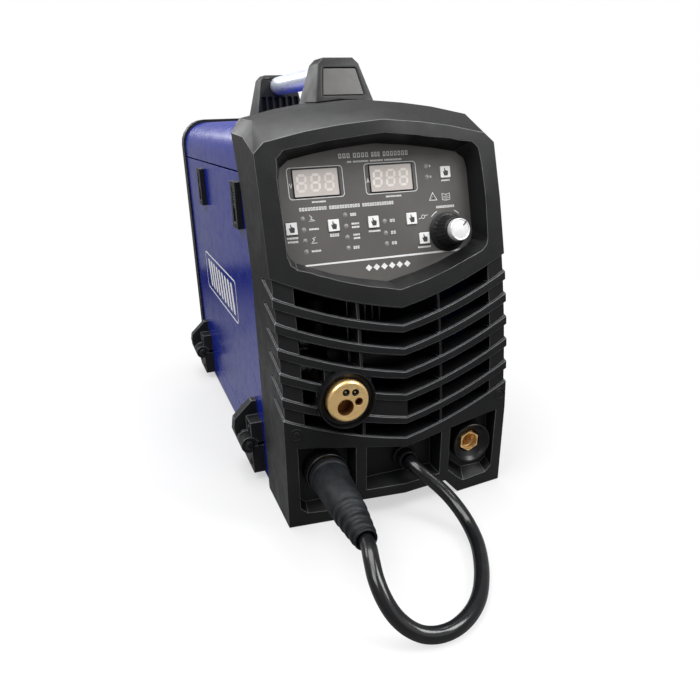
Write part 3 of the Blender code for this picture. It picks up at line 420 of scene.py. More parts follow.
def add_piece(name, solid, slot, body="housing", edge=0.0, replaces=(), material=None):
    """Makes a piece that rides on a body, in a slot's finish or in a material of its own."""
    verts, faces = solid
    mesh = solid_mesh(name, [at(*v) for v in verts], faces)
    mesh.shade_smooth()
    mesh.materials.append(material or MATS[slot])
    obj = new_object(name, mesh)
    if edge:
        round_edges(obj, edge)
    else:
        mesh.set_sharp_from_angle(angle=math.radians(SMOOTH_ANGLE))
    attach(obj, body)
    if replaces:
        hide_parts(*replaces)
    return obj


def carve(solid, cutters):
    """Cuts closed solids out of another, and gives back plain vertices and faces."""
    blank, tool = (new_object("temporary", solid_mesh("temporary", [Vector(v) * MM for v in verts], faces))
                   for verts, faces in (solid, joined(cutters)))
    mod = blank.modifiers.new("cut", "BOOLEAN")
    mod.operation, mod.solver, mod.object = "DIFFERENCE", "EXACT", tool
    evaluated = blank.evaluated_get(bpy.context.evaluated_depsgraph_get())
    mesh = evaluated.to_mesh()
    verts = [v.co / MM for v in mesh.vertices]
    faces = [list(p.vertices) for p in mesh.polygons]
    evaluated.to_mesh_clear()
    for obj in (blank, tool):
        bpy.data.objects.remove(obj, do_unlink=True)
    return verts, faces


# ------------------------------------------------------------------------------------------
# control panel
# ------------------------------------------------------------------------------------------
SLOPE = math.atan(PANEL_LEAN)
OUTWARD = Vector((0.0, -math.cos(SLOPE), math.sin(SLOPE)))
BUTTONS = ((-79.7, 257.7), (-43.3, 257.7), (-7.4, 257.7), (28.3, 257.7), (38.9, 240.4), (64.7, 294.3))
DISPLAYS = (("volts", -54.3), ("amps", 13.0))
DISPLAY_Z = 292.6
DIGIT_PITCH = 12.0
KNOB_X, KNOB_Z = 61.7, 243.8
LABEL_SKIN = 0.3              # the printed label in front of the panel plate
LAMP_COLUMNS = (
    (-69.3, (264.9, 256.1, 247.4, 238.6)), (-32.2, (265.2, 256.3, 247.3, 238.4)),
    (3.0, (257.6, 247.7, 238.9)), (46.8, (300.2, 291.1)))

# rows of print: left end, height above the floor, height of the marks, lengths of the words
CAPTIONS = (
    (-25.6, 307.2, 1.4, (4.0, 14.0, 12.0, 16.0)), (-59.8, 277.4, 1.3, (12.2,)), (6.3, 277.4, 1.3, (14.6,)),
    (-84.4, 250.3, 1.5, (9.6,)), (-84.2, 247.3, 1.5, (9.2,)), (-47.4, 249.9, 2.4, (8.2,)),
    (-12.6, 250.2, 1.4, (11.0,)), (32.0, 233.0, 1.4, (12.4,)), (60.2, 287.4, 1.4, (8.6,)),
    (53.0, 265.4, 2.0, (18.0,)), (-64.8, 256.1, 1.5, (8.4,)), (-64.8, 238.6, 1.5, (8.4,)),
    (-27.8, 265.2, 2.4, (5.6,)), (-27.8, 238.4, 2.4, (5.6,)), (7.6, 257.6, 2.4, (5.0,)),
    (7.6, 247.7, 2.4, (5.0,)), (7.6, 238.9, 2.4, (5.0,)), (49.6, 300.2, 1.7, (1.6,)),
    (49.6, 291.1, 1.7, (1.6,)), (-27.4, 257.7, 1.5, (7.0,)), (-27.4, 254.9, 1.5, (7.0,)),
    (-26.8, 248.7, 1.5, (6.0,)), (-26.8, 245.9, 1.5, (6.0,)))
TITLES = ((-33.0, 312.2, 3.8, (11.0, 14.5, 8.5, 24.0)), (-71.5, 272.2, 2.7, (24.0, 27.5, 29.0)))
OPEN_MARKS_FROM = 1.6         # marks higher than this are drawn as empty boxes


def on_panel(x, z, proud=0.0):
    skin = Vector((x, PANEL_Y + PANEL_LEAN * (z - PANEL_Z) + LABEL_SKIN, z))
    return skin + OUTWARD * proud


def printed(outlines, low=-0.03, high=0.06):
    """Flat printed shapes as very thin solids on the panel."""
    return joined([loft([[on_panel(x, z, t) for x, z in outline] for t in (low, high)])
                   for outline in outlines])


def bar(x0, x1, z, height):
    return rounded_rect((x0 + x1) / 2, z, x1 - x0, height, height * 0.48, 3)


def words(x, z, height, lengths, gap=1.3):
    """A caption without letters: rows of small empty boxes, or filled ones where they are tiny."""
    marks = []
    inner = height * 0.22
    for length in lengths:
        count = max(1, round(length / height / 0.85))
        pitch = length / count
        for k in range(count):
            left, right = x + pitch * (k + 0.1), x + pitch * (k + 0.84)
            if height > OPEN_MARKS_FROM:
                half = (height - inner) / 2
                box = rectangle(left + inner / 2, right - inner / 2, z - half, z + half)
                marks += stroke(box, inner, closed=True)
            else:
                marks.append(rectangle(left, right, z - height / 2, z + height / 2))
        x += length + gap
    return marks


def hand_icon(x, z, size):
    """A plain pointing hand."""
    outline = ((-0.18, -0.42), (0.27, -0.42), (0.34, -0.1), (0.33, 0.1), (0.26, 0.14), (0.2, 0.1),
               (0.17, 0.17), (0.09, 0.16), (0.05, 0.22), (-0.02, 0.2), (-0.03, 0.42), (-0.08, 0.47),
               (-0.14, 0.42), (-0.15, 0.02), (-0.27, 0.1), (-0.34, 0.05), (-0.26, -0.14))
    return [(x + u * size, z + v * size) for u, v in outline]


def unit_marks():
    """The letters V and A beside the displays."""
    z, half = 291.3, 1.7
    marks = []
    for x, way in ((-76.0, 1), (-8.6, -1)):
        marks += stroke([(x - 1.2, z + way * half), (x, z - way * half), (x + 1.2, z + way * half)], 0.6)
    marks.append(bar(-9.4, -7.8, z - 0.6, 0.5))
    return marks


def process_icon(x, z, way):
    """A bent electrode over a workpiece, pointing up or down."""
    electrode = [(x - 1.9, z + way * 2.0), (x + 0.3, z), (x - 1.1, z - way * 1.2),
                 (x + 1.7, z - way * 2.0)]
    workpiece = [(x - 2.7, z - 2.6), (x + 2.7, z - 2.6)]
    return stroke(electrode, 0.45) + stroke(workpiece, 0.4)


def care_icons():
    """A plain triangle and an open book."""
    marks = stroke([(50.8 + 4.2 * math.sin(a), 273.6 + 4.2 * math.cos(a)) for a in (0, 2.094, 4.189)],
                   0.5, closed=True)
    marks.append(bar(50.45, 51.15, 274.0, 2.6))
    left, spine, right, low = 59.9, 63.6, 67.3, 271.2
    cover = [(left, low), (left, 276.4), (spine, 275.6), (right, 276.4), (right, low), (spine, 270.6)]
    marks += stroke(cover, 0.45, closed=True) + stroke([(spine, 270.7), (spine, 275.5)], 0.4)
    for z in (272.6, 274.0):
        marks += words(60.9, z, 0.4, (1.9,)) + words(64.5, z, 0.4, (1.9,))
    return marks


def feed_icon():
    """A roll with the wire running through it."""
    marks = stroke(polygon(39.6, 258.4, 1.5, 16), 0.45, closed=True)
    for wire in ([(35.2, 256.8), (38.1, 257.4)], [(41.2, 259.2), (44.2, 259.6)]):
        marks += stroke(wire, 0.45)
    return marks


def seven_segment(x, z, wide=6.8, high=14.4, thick=2.1):
    """The seven bars of a blank numeral."""
    outlines = []
    half, slot, slant = thick / 2, 0.35, 0.07
    for level in (-1, 0, 1):
        zc = z + level * (high - thick) / 2
        x0, x1 = x - wide / 2 + slot, x + wide / 2 - slot
        outlines.append([(x0, zc), (x0 + half, zc + half), (x1 - half, zc + half), (x1, zc),
                         (x1 - half, zc - half), (x0 + half, zc - half)])
    for side in (-1, 1):
        for level in (-1, 1):
            xc = x + side * wide / 2
            low, top = sorted((z + level * slot, z + level * ((high - thick) / 2 - slot)))
            outlines.append([(xc, low), (xc + half, low + half), (xc + half, top - half), (xc, top),
                             (xc - half, top - half), (xc - half, low + half)])
    return [[(u + slant * (v - z), v) for u, v in outline] for outline in outlines]


def make_panel_print():
    ink = []
    for _, x in DISPLAYS:
        ink += stroke(rounded_rect(x - 0.2, DISPLAY_Z, 47.6, 24.6, 2.6), 0.55, closed=True)
    ink.append([(-71.5, 226.9), (73.2, 226.7), (73.2, 228.3), (-71.5, 228.2)])
    for x, z, height, lengths in CAPTIONS:
        ink += words(x, z, height, lengths)
    for x, z, height, lengths in TITLES:
        ink += words(x, z, height, lengths, gap=2.0)
    ink += unit_marks() + process_icon(-61.5, 265.3, 1) + process_icon(-61.5, 247.6, -1)
    ink += care_icons() + feed_icon()
    for start, end in ((2.0, 2.36), (0.84, 1.12)):
        ink += stroke(arc(KNOB_X, KNOB_Z, 19.8, start, end, 8), 0.6)
    for k in range(6):
        x = -15.8 + 7.2 * k
        ink.append([(x - 3.1, 220.5), (x, 223.3), (x + 3.1, 220.5), (x, 217.7)])
    add_piece("panel_print", printed(ink), None, material=PRINT["white"])


def make_indicators():
    lens = ((-0.2, 1.55), (0.12, 1.55), (0.4, 1.2), (0.52, 0.6), (0.56, 0.1))
    collar = ((-0.2, 1.65), (0.1, 1.65), (0.16, 1.8), (0.1, 2.0), (-0.2, 2.0))
    spots = [on_panel(x, z) for x, heights in LAMP_COLUMNS for z in heights]
    lenses = [lathe(spot, OUTWARD, lens, 24) for spot in spots]
    collars = [lathe(spot, OUTWARD, collar, 24, ring=True) for spot in spots]
    add_piece("indicator_lamps", joined(lenses), None, material=PRINT["lamp"])
    add_piece("indicator_collars", joined(collars), None, material=PRINT["collar"])


def make_displays():
    for name, x in DISPLAYS:
        digits = []
        for k in (-1, 0, 1):
            digits += seven_segment(x - 0.6 + DIGIT_PITCH * k, DISPLAY_Z)
        add_piece(f"{name}_segments", printed(digits, 0.2, 0.36), None, material=PRINT["segment"])
        outer = rounded_rect(x, DISPLAY_Z, 40.6, 23.2, 1.0, 3)
        inner = rounded_rect(x, DISPLAY_Z, 38.6, 21.2, 0.5, 3)
        section = ((outer, -0.1), (outer, 0.45), (inner, 0.6), (inner, -0.1))
        rings = [[on_panel(a, b, proud) for a, b in outline] for outline, proud in section]
        add_piece(f"{name}_window_frame", loft(rings, closed=True), "black_plastic")


def make_button_icons():
    for number, (x, z) in enumerate(BUTTONS, 1):
        icon = printed([hand_icon(x, z, 7.4)], 0.9, 1.06)
        add_piece(f"button_{number}_icon", icon, None, f"button_{number}", material=PRINT["dark"])


def make_knob():
    base = on_panel(KNOB_X, KNOB_Z)
    body = ((0.4, 3.2), (0.4, 16.4), (0.8, 17.1), (1.7, 17.1), (2.3, 16.4), (3.0, 14.3), (4.2, 13.7),
            (10.0, 12.9), (15.8, 12.2), (17.4, 11.6), (18.2, 10.6), (18.3, 9.2))
    add_piece("knob_body", lathe(base, OUTWARD, body, 144, flutes=(24, 0.5, 4.0, 16.0)),
              "black_plastic", "knob", replaces=("knob_skirt",))
    cap = ((18.6, 9.6), (22.6, 9.6), (23.9, 9.4), (24.6, 8.8), (24.5, 8.2), (24.1, 7.9), (24.4, 4.0),
           (24.5, 0.2))
    add_piece("knob_spun_cap", lathe(base, OUTWARD, cap, 96, flutes=(48, 0.22, 19.2, 22.8)),
              "silver_cap", "knob", replaces=("knob_cap",))
    turn = 0.75
    outline = [(a * math.cos(turn) - b * math.sin(turn), a * math.sin(turn) + b * math.cos(turn))
               for a, b in rectangle(-0.45, 0.45, 4.6, 8.8)]
    add_piece("knob_pointer", sketch_slab(outline, base, OUTWARD, 24.0, 25.0), None, "knob",
              material=PRINT["dark"])


# ------------------------------------------------------------------------------------------
# sockets, plug, cable
# ------------------------------------------------------------------------------------------
EURO_X, EURO_Z, EURO_FACE = -53.3, 119.3, -12.5
SOCKET_X, SOCKET_Z = 71.5, 50.0
POCKET_Y = 12.7               # back wall of the pockets that the sockets and the gland sit in
NUT_BACK = 8.0
GLAND = (6.5, 0.0, 45.5)
PLUG_AXIS = Vector((-4.5, -103.0, -0.6)).normalized()
CABLE_D = 12.0
CABLE_ROUTE = (
    (6.5, -0.9, 45.5), (8.0, -7.0, 44.0), (11.8, -14.5, 40.2), (18.8, -23.5, 34.0), (26.0, -35.5, 26.3),
    (31.0, -49.0, 18.2), (32.3, -66.0, 11.0), (27.8, -87.5, 7.2), (17.6, -110.5, 6.1), (5.5, -130.5, 6.1),
    (-5.1, -143.8, 6.1), (-16.7, -154.0, 6.1), (-28.6, -160.8, 6.1), (-39.5, -164.0, 6.1),
    (-50.5, -164.0, 6.6), (-60.5, -161.8, 9.2), (-69.2, -158.0, 14.8), (-76.0, -152.4, 22.4),
    (-80.2, -144.8, 31.4), (-81.6, -134.6, 40.2), (-79.6, -121.5, 47.0),
    (-76.9, -110.0, 49.1), (-75.7, -99.6, 49.4))


def make_euro_connector():
    centre = (EURO_X, 0, EURO_Z)
    face = EURO_FACE
    flange = ((-8.0, 25.4), (-2.9, 25.4), (-2.9, 19.4), (14.0, 19.4), (14.0, 19.0), (-5.0, 19.0),
              (-6.0, 22.6), (-9.4, 23.6), (-10.4, 24.1), (-10.5, 24.6), (-10.3, 25.0), (-9.4, 25.2))
    add_piece("euro_flange_ring", lathe(centre, INWARDS, flange, 96, ring=True), None,
              replaces=("euro_flange",), material=PRINT["insulator"])

    # bores: across, up, radius, depth
    wire_and_gas = ((-2.9, -4.6, 7.2, 12.0), (9.0, -1.2, 3.5, 9.0))
    pin_bores = ((-2.0, 8.6, 3.1, 12.0), (6.2, 7.4, 3.1, 12.0))
    body = ((face + 0.5, 13.0), (face + 0.1, 14.6), (face, 15.0), (face, 16.6), (face + 0.5, 17.3),
            (face + 1.6, 18.2), (face + 3.0, 18.4), (40.0, 18.4))
    cutters = [lathe((EURO_X + dx, 0, EURO_Z + dz), INWARDS, ((face - 4, r), (face + depth, r)), 40)
               for dx, dz, r, depth in wire_and_gas + pin_bores]
    add_piece("euro_brass_body", carve(lathe(centre, INWARDS, body, 96), cutters), "brass", edge=0.25,
              replaces=("euro_body",))

    sleeve = ((face + 0.9, 2.0), (face + 0.5, 2.3), (face + 0.5, 3.0), (face + 9, 3.0), (face + 9, 2.0))
    pin = ((face + 1.5, 0.2), (face + 1.6, 0.7), (face + 2.0, 1.0), (face + 9, 1.0))
    pin_places = [(EURO_X + dx, 0, EURO_Z + dz) for dx, dz, _, _ in pin_bores]
    add_piece("euro_pin_sleeves", joined([lathe(p, INWARDS, sleeve, 48, ring=True) for p in pin_places]),
              None, material=PRINT["insulator"])
    add_piece("euro_pins", joined([lathe(p, INWARDS, pin, 32) for p in pin_places]), "brass")

    # dark brass sleeves inside the wire and gas bores: painted shade in the holes
    liners = []
    for dx, dz, radius, depth in wire_and_gas:
        wall, end = radius - 0.1, face + depth
        liner = ((face + 0.5, wall - 0.3), (face + 0.5, wall), (end - 0.2, wall), (end - 0.2, 0.9),
                 (end - 1.0, 1.2), (end - 1.0, wall - 0.3))
        liners.append(lathe((EURO_X + dx, 0, EURO_Z + dz), INWARDS, liner, 64, ring=True))
    add_piece("euro_bore_shade_liners", joined(liners), None, material=PRINT["bore_painted_shade_brass"])


def make_sockets():
    shell = ((-1.6, 17.6), (-2.0, 18.0), (-2.0, 18.6), (-1.3, 19.2), (POCKET_Y, 19.2), (POCKET_Y, 14.7),
             (30.0, 14.7), (30.0, 10.5), (5.0, 10.5), (4.0, 10.8), (1.6, 14.6), (0.6, 15.6),
             (-0.6, 16.6))
    countersink = ((0.0, 9.4), (2.95, 7.7), (20.0, 7.5))
    back, pitch = 35.0, 1.35
    threads = [(NUT_BACK + 0.05, 9.7), (back, 9.7), (back, 6.6)]
    threads += [(back - pitch * k, 7.3 if k % 2 else 6.7) for k in range(1, 20)]
    for side, word in ((-1, "left"), (1, "right")):
        centre = (side * SOCKET_X, 0, SOCKET_Z)
        solid = lathe(centre, INWARDS, shell, 96, ring=True)
        if word == "right":
            keyway = block((SOCKET_X - 2.2, -4.0, SOCKET_Z + 9.0), (SOCKET_X + 2.2, 12.0, SOCKET_Z + 12.6))
            solid = carve(solid, [keyway])
        add_piece(f"socket_ring_{word}", solid, None, edge=0.25, replaces=(f"socket_shell_{word}",),
                  material=PRINT["insulator"])
        hexagon = sketch_slab(polygon(0.0, 0.0, 10.3, 6, 0.45), centre, INWARDS, 2.9, NUT_BACK)
        nut = carve(hexagon, [lathe(centre, INWARDS, countersink, 64)])
        add_piece(f"socket_nut_{word}", nut, "brass", edge=0.3)
        add_piece(f"socket_bore_{word}", lathe(centre, INWARDS, threads, 64, ring=True), "brass",
                  replaces=(f"socket_contact_{word}",))


def smooth_route(points, spacing):
    """Evenly spaced points on a smooth curve through the given ones."""
    pts = [Vector(p) for p in points]
    pts = [2 * pts[0] - pts[1]] + pts + [2 * pts[-1] - pts[-2]]
    fine = []
    for a, b, c, d in zip(pts, pts[1:], pts[2:], pts[3:]):
        for k in range(12):
            t = k / 12
            fine.append(0.5 * (2 * b + (c - a) * t + (2 * a - 5 * b + 4 * c - d) * t * t
                               + (3 * b - a - 3 * c + d) * t ** 3))
    fine.append(pts[-2])
    total = sum((q - p).length for p, q in zip(fine, fine[1:]))
    count = round(total / spacing)
    out, walked, target = [fine[0]], 0.0, total / count
    for p, q in zip(fine, fine[1:]):
        step = (q - p).length
        while walked + step >= target * len(out) and len(out) < count:
            out.append(p.lerp(q, (target * len(out) - walked) / step))
        walked += step
    return out + [fine[-1]]


def make_gland():
    nut = ((6.0, 7.1), (0.6, 7.1), (-0.4, 7.4), (-0.5, 7.9), (-0.2, 8.4), (1.4, 9.2), (3.2, 9.5),
           (8.2, 9.5), (8.7, 10.4), (9.2, 10.9), (POCKET_Y, 10.9), (POCKET_Y, 8.4))
    add_piece("gland_nut", lathe(GLAND, INWARDS, nut, 96, ring=True, flutes=(16, 0.55, 0.5, 8.4)),
              "black_plastic", replaces=("cable_gland",))
    seal = ((0.4, 6.15), (0.3, 6.9), (6.0, 6.9), (6.0, 6.15))
    add_piece("gland_seal", lathe(GLAND, INWARDS, seal, 64, ring=True), "rubber")


def make_plug_grip():
    """The rubber sleeve of the plug, with four ribs towards the cable."""
    start = Vector((-SOCKET_X, -2.6, SOCKET_Z))
    sleeve = [(0.0, 7.6), (0.0, 15.9), (0.4, 16.7), (1.4, 17.5), (2.4, 17.8), (6.2, 17.8), (7.2, 17.5),
              (7.9, 16.9), (8.4, 16.3), (20.0, 15.9), (38.0, 15.2), (52.0, 14.4), (55.4, 13.9),
              (57.2, 12.9), (58.2, 12.3)]
    for k in range(4):
        first, r = 59.6 + 9.7 * k, 13.9 - 1.15 * k
        sleeve += [(first, r - 1.3), (first + 0.5, r - 0.5), (first + 1.4, r), (first + 4.8, r - 0.15),
                   (first + 6.2, r - 0.7), (first + 6.9, r - 1.6), (first + 8.6, r - 1.9)]
    sleeve += [(99.2, 9.2), (100.0, 8.6), (100.0, 7.7), (99.0, 7.0), (88.0, 6.6), (88.0, 3.0),
               (17.0, 3.0), (17.0, 7.6)]
    return add_piece("plug_grip", lathe(start, PLUG_AXIS, sleeve, 96, ring=True), "rubber",
                     replaces=("plug_sleeve",))


def make_cable(plug):
    route = [at(*p) for p in smooth_route(CABLE_ROUTE, 3.0)]
    curve = bpy.data.curves.new("polarity_cable_jacket", "CURVE")
    curve.dimensions = "3D"
    curve.bevel_depth = CABLE_D / 2 * MM
    curve.bevel_resolution = 8
    curve.use_fill_caps = True
    spline = curve.splines.new("POLY")
    spline.points.add(len(route) - 1)
    for point, place in zip(spline.points, route):
        point.co = (*place, 1.0)
    spline.use_smooth = True
    curve.materials.append(MATS["cable_jacket"])
    cable = new_object("polarity_cable_jacket", curve)
    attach(cable, "housing")
    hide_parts("polarity_cable")


# ------------------------------------------------------------------------------------------
# case, door, handle
# ------------------------------------------------------------------------------------------
HINGES = (("front", 100.0), ("rear", 405.0))       # front end of each hinge
HINGE_LONG, HINGE_THICK, HINGE_PIN_Z = 50.0, 12.0, 39.5
LATCHES = (("front", 120.0), ("rear", 330.0))      # middle of each latch
FRONT_SIDE_Y, FRONT_HALF_W = 11.3, 105.0           # how far the front face falls back at the sides
FRONT_BULGE, BULGE_Z = 0.0007, 90.65               # and how it curves back above and below
FRONT_EDGE_LEAN = 20.0 / 85.0                      # the front moulding's rear edge, high up
POST_Y, POST_LOW, POST_LEAN = 112.8, 343.3, 20.0 / 46.2    # front of the handle's front post
TUBE_Z = 381.5


def screw(place, axis, radius, height):
    """A pan-head screw with a cross recess."""
    profile = ((-1.0, radius * 0.5), (0.02, radius * 0.5), (0.02, radius), (height * 0.45, radius * 0.97),
               (height * 0.85, radius * 0.75), (height, radius * 0.4))
    arm, reach = radius * 0.15, radius * 0.6
    cross = [(-arm, -reach), (arm, -reach), (arm, -arm), (reach, -arm), (reach, arm), (arm, arm),
             (arm, reach), (-arm, reach), (-arm, arm), (-reach, arm), (-reach, -arm), (-arm, -arm)]
    recess = sketch_slab(cross, place, axis, height * 0.35, height + 1.0)
    return carve(lathe(place, axis, profile, 28), [recess])


def make_case_screws():
    places = [(y, 16.0) for y in (112.0, 275.0, 440.0)] + [(y, 292.0) for y in (140.0, 440.0)]
    side = [screw((CASE_HALF_W, y, z), (1, 0, 0), 3.2, 1.6) for y, z in places]
    add_piece("case_screws", joined(side), "zinc_steel")
    corners = [screw((x, BACK, z), INWARDS, 3.6, 1.8) for x in (-90.0, 90.0) for z in (22.0, 318.0)]
    fan_x, fan_z, reach = 42.0, 200.0, 52.0
    grille = [screw((fan_x + dx, BACK, fan_z + dz), INWARDS, 2.6, 1.4)
              for dx in (-reach, reach) for dz in (-reach, reach)]
    add_piece("rear_screws", joined(corners + grille), "zinc_steel")


def make_front_screws():
    """Two screws on the curved front moulding, square to its face, each in a raised ring."""
    ring = ((-0.4, 5.6), (0.15, 5.6), (0.45, 5.2), (0.45, 4.7), (0.1, 4.5), (-0.4, 4.5))
    rings, screws = [], []
    for x, z in ((100.0, 95.0), (-97.0, 92.5)):
        out = Vector((math.copysign(FRONT_SIDE_Y / FRONT_HALF_W, x), -1.0, 0.0)).normalized()
        face = FRONT_BULGE * (z - BULGE_Z) ** 2 - FRONT_SIDE_Y * (1 - abs(x) / FRONT_HALF_W)
        spot = Vector((x, face, z))
        rings.append(lathe(spot, out, ring, 48, ring=True))
        screws.append(screw(spot - out * 1.4, out, 3.3, 1.7))
    add_piece("front_screw_rings", joined(rings), "black_plastic")
    add_piece("front_screws", joined(screws), "black_steel")


def make_hinge_screws():
    face = DOOR_FACE - HINGE_THICK
    for word, y in HINGES:
        for half, z, body in (("base", 17.0, "housing"), ("leaf", 55.0, "door")):
            pair = [screw((face, end, z), (-1, 0, 0), 3.0, 1.5) for end in (y + 9.0, y + HINGE_LONG - 9.0)]
            add_piece(f"hinge_{half}_screws_{word}", joined(pair), "black_steel", body)
        pin_head = screw((-119.0, y - 0.6, HINGE_PIN_Z), (0, -1, 0), 4.7, 1.9)
        add_piece(f"hinge_pin_head_{word}", pin_head, "black_steel")


def make_latch_details():
    for word, y in LATCHES:
        ridges = [block((DOOR_FACE - 4.9, y - 2.4, z), (DOOR_FACE - 3.2, y + 2.4, z + 0.9))
                  for z in (272.6, 275.0, 277.4, 279.8)]
        add_piece(f"latch_ridges_{word}", joined(ridges), "black_plastic", f"latch_{word}", edge=0.2)
        gasket = block((DOOR_FACE - 0.02, y - 10.4, 250.8), (DOOR_FACE + 0.28, y + 10.4, 291.2))
        add_piece(f"latch_gasket_{word}", gasket, "rubber", "door")


def make_door_seal():
    """A rubber strip under the front moulding's rear edge, just ahead of the closed door."""
    front, rear = 70.4, 79.8
    low, bend, high = 33.4, 215.0, 299.2
    rear_high = rear + FRONT_EDGE_LEAN * (high - bend)
    outline = [(front, low), (rear, low), (rear, bend), (rear_high, high), (front, high)]
    strip = loft([[(x, y, z) for y, z in outline] for x in (-CASE_HALF_W - 0.36, -CASE_HALF_W + 1.4)])
    add_piece("door_seal", strip, "rubber")


def make_side_graphic():
    """A plain outlined plate with slanted bars, printed on the door."""
    shapes = stroke(rounded_rect(280.0, 163.0, 197.0, 46.0, 7.0), 1.7, closed=True)
    low, high, slant = 146.6, 179.4, 9.6
    for k in range(9):
        y = 193.8 + 18.2 * k
        shapes.append([(y, low), (y + slant, low), (y + 2 * slant, high), (y + slant, high)])
    skin = (-CASE_HALF_W - 0.07, -CASE_HALF_W + 0.03)
    solids = [loft([[(x, a, b) for a, b in shape] for x in skin]) for shape in shapes]
    add_piece("door_graphic", joined(solids), None, "door", material=PRINT["white"])


def make_handle():
    plate = ((-19.7, 362.1), (19.7, 362.1), (15.5, 385.0), (-15.5, 385.0))
    rings = [[(x, POST_Y + POST_LEAN * (z - POST_LOW) + sunk, z) for x, z in plate] for sunk in (1.5, 0.4)]
    add_piece("handle_cap_plate", loft(rings), None, edge=0.4, material=PRINT["plate"])
    tube = ((150.4, 9.6), (150.4, 10.3), (361.6, 10.3), (361.6, 9.6))
    add_piece("handle_bar", lathe((0, 0, TUBE_Z), INWARDS, tube, 72), "anodised_tube",
              replaces=("handle_tube",))


# ------------------------------------------------------------------------------------------
# wire spool, seen when the door is open
# ------------------------------------------------------------------------------------------
SPOOL = (-30.9, 300.0, 190.0)                      # inner end of the spool, on its axis
SPOOL_AXIS = (-1, 0, 0)


def spool_flange(start):
    """One disc of the spool, with a rim, a hub and six round windows."""
    profile = ((start, 25.0), (start, 96.5), (start + 0.3, 98.6), (start + 1.2, 99.0),
               (start + 2.6, 98.6), (start + 3.0, 96.5), (start + 2.2, 94.0), (start + 2.2, 38.0),
               (start + 3.0, 35.0), (start + 3.0, 25.0))
    x, y, z = SPOOL
    windows = [lathe((x, a, b), SPOOL_AXIS, ((start - 2, 15.0), (start + 6, 15.0)), 40)
               for a, b in polygon(y, z, 66.0, 6)]
    return carve(lathe(SPOOL, SPOOL_AXIS, profile, 120, ring=True), windows)


def make_spool():
    barrel_profile = ((2.5, 25.0), (2.5, 46.0), (49.5, 46.0), (49.5, 25.0))
    barrel = lathe(SPOOL, SPOOL_AXIS, barrel_profile, 96, ring=True)
    add_piece("spool_flanges", joined([spool_flange(0.0), spool_flange(49.0), barrel]), "spool_plastic",
              "spool", edge=0.3, replaces=("wire_spool",))
    pitch = 1.6
    turns = [(3.4, 46.3)]
    for k in range(28):
        middle = 4.2 + pitch * k
        turns += [(middle - 0.75, 88.2), (middle - 0.4, 88.8), (middle + 0.4, 88.8), (middle + 0.75, 88.2)]
    turns.append((48.7, 46.3))
    add_piece("wound_wire", lathe(SPOOL, SPOOL_AXIS, turns, 120, ring=True), None, "spool",
              material=PRINT["wire"])


# ------------------------------------------------------------------------------------------
# print and small parts that have no slot of their own
# ------------------------------------------------------------------------------------------
def make_print_materials():
    made = {}
    s = Surface("white_ink", (0.78, 0.78, 0.77), 0.45)
    made["white"] = s.vary_colour(s.noise(500.0, 3.0), 0.45, 0.8, (0.66, 0.66, 0.65)).mat
    s = Surface("dark_ink", (0.03, 0.03, 0.032), 0.5)
    made["dark"] = s.vary_colour(s.noise(500.0, 3.0), 0.45, 0.8, (0.07, 0.07, 0.07)).mat
    s = Surface("segment_plastic", (0.82, 0.77, 0.73), 0.3)
    made["segment"] = s.vary_colour(s.noise(90.0, 2.0), 0.4, 0.7, (0.74, 0.67, 0.63)).mat
    # the handle's cap plate: a lighter brownish grey, partly its own tone and partly a painted sheen
    s = Surface("cap_plate", (0.04, 0.0385, 0.0355), 0.36)
    s.vary_colour(s.noise(120.0, 4.0, 0.6), 0.4, 0.75, (0.056, 0.0535, 0.049))
    made["plate"] = s.bump(s.noise(1500.0, 2.0), 0.03).mat
    # brass darkened as painted shade, for the sleeves inside the bores
    s = Surface("bore_painted_shade_brass", (0.3, 0.13, 0.035), 0.5, 0.85)
    s.vary_colour(s.noise(150.0, 3.0, 0.6), 0.35, 0.75, (0.17, 0.07, 0.02))
    made["bore_painted_shade_brass"] = s.vary_roughness(s.noise(700.0, 2.0), 0.3, 0.7, 0.45, 0.6).mat
    s = Surface("insulator", (0.005, 0.0052, 0.006), 0.3, 0.0, Specular_IOR_Level=0.3)
    s.vary_colour(s.noise(60.0, 4.0, 0.6), 0.45, 0.75, (0.011, 0.0112, 0.012))
    s.vary_roughness(s.noise(90.0, 3.0), 0.3, 0.7, 0.26, 0.38)
    made["insulator"] = s.bump(s.noise(1500.0, 2.0), 0.02).mat
    s = Surface("lamp_collar", (0.3, 0.29, 0.28), 0.45)
    made["collar"] = s.vary_colour(s.noise(400.0, 2.0), 0.4, 0.7, (0.25, 0.24, 0.23)).mat
    s = Surface("lamp_lens", (0.3, 0.29, 0.28), 0.4)
    made["lamp"] = s.vary_colour(s.noise(300.0, 2.0), 0.4, 0.7, (0.24, 0.23, 0.22)).mat
    s = Surface("copper_coat", (0.78, 0.38, 0.2), 0.28, 1.0)
    s.vary_colour(s.noise(220.0, 3.0), 0.4, 0.75, (0.6, 0.27, 0.13))
    made["wire"] = s.bump(s.noise(900.0, 2.0, 0.5, s.stretched(1.0, 0.2, 0.2)), 0.05).mat
    return made


PRINT = make_print_materials()
make_panel_print()
make_indicators()
make_displays()
make_button_icons()
make_knob()
make_euro_connector()
make_sockets()
make_gland()
make_cable(make_plug_grip())
make_case_screws()
make_front_screws()
make_hinge_screws()
make_latch_details()
make_door_seal()
make_side_graphic()
make_handle()
make_spool()


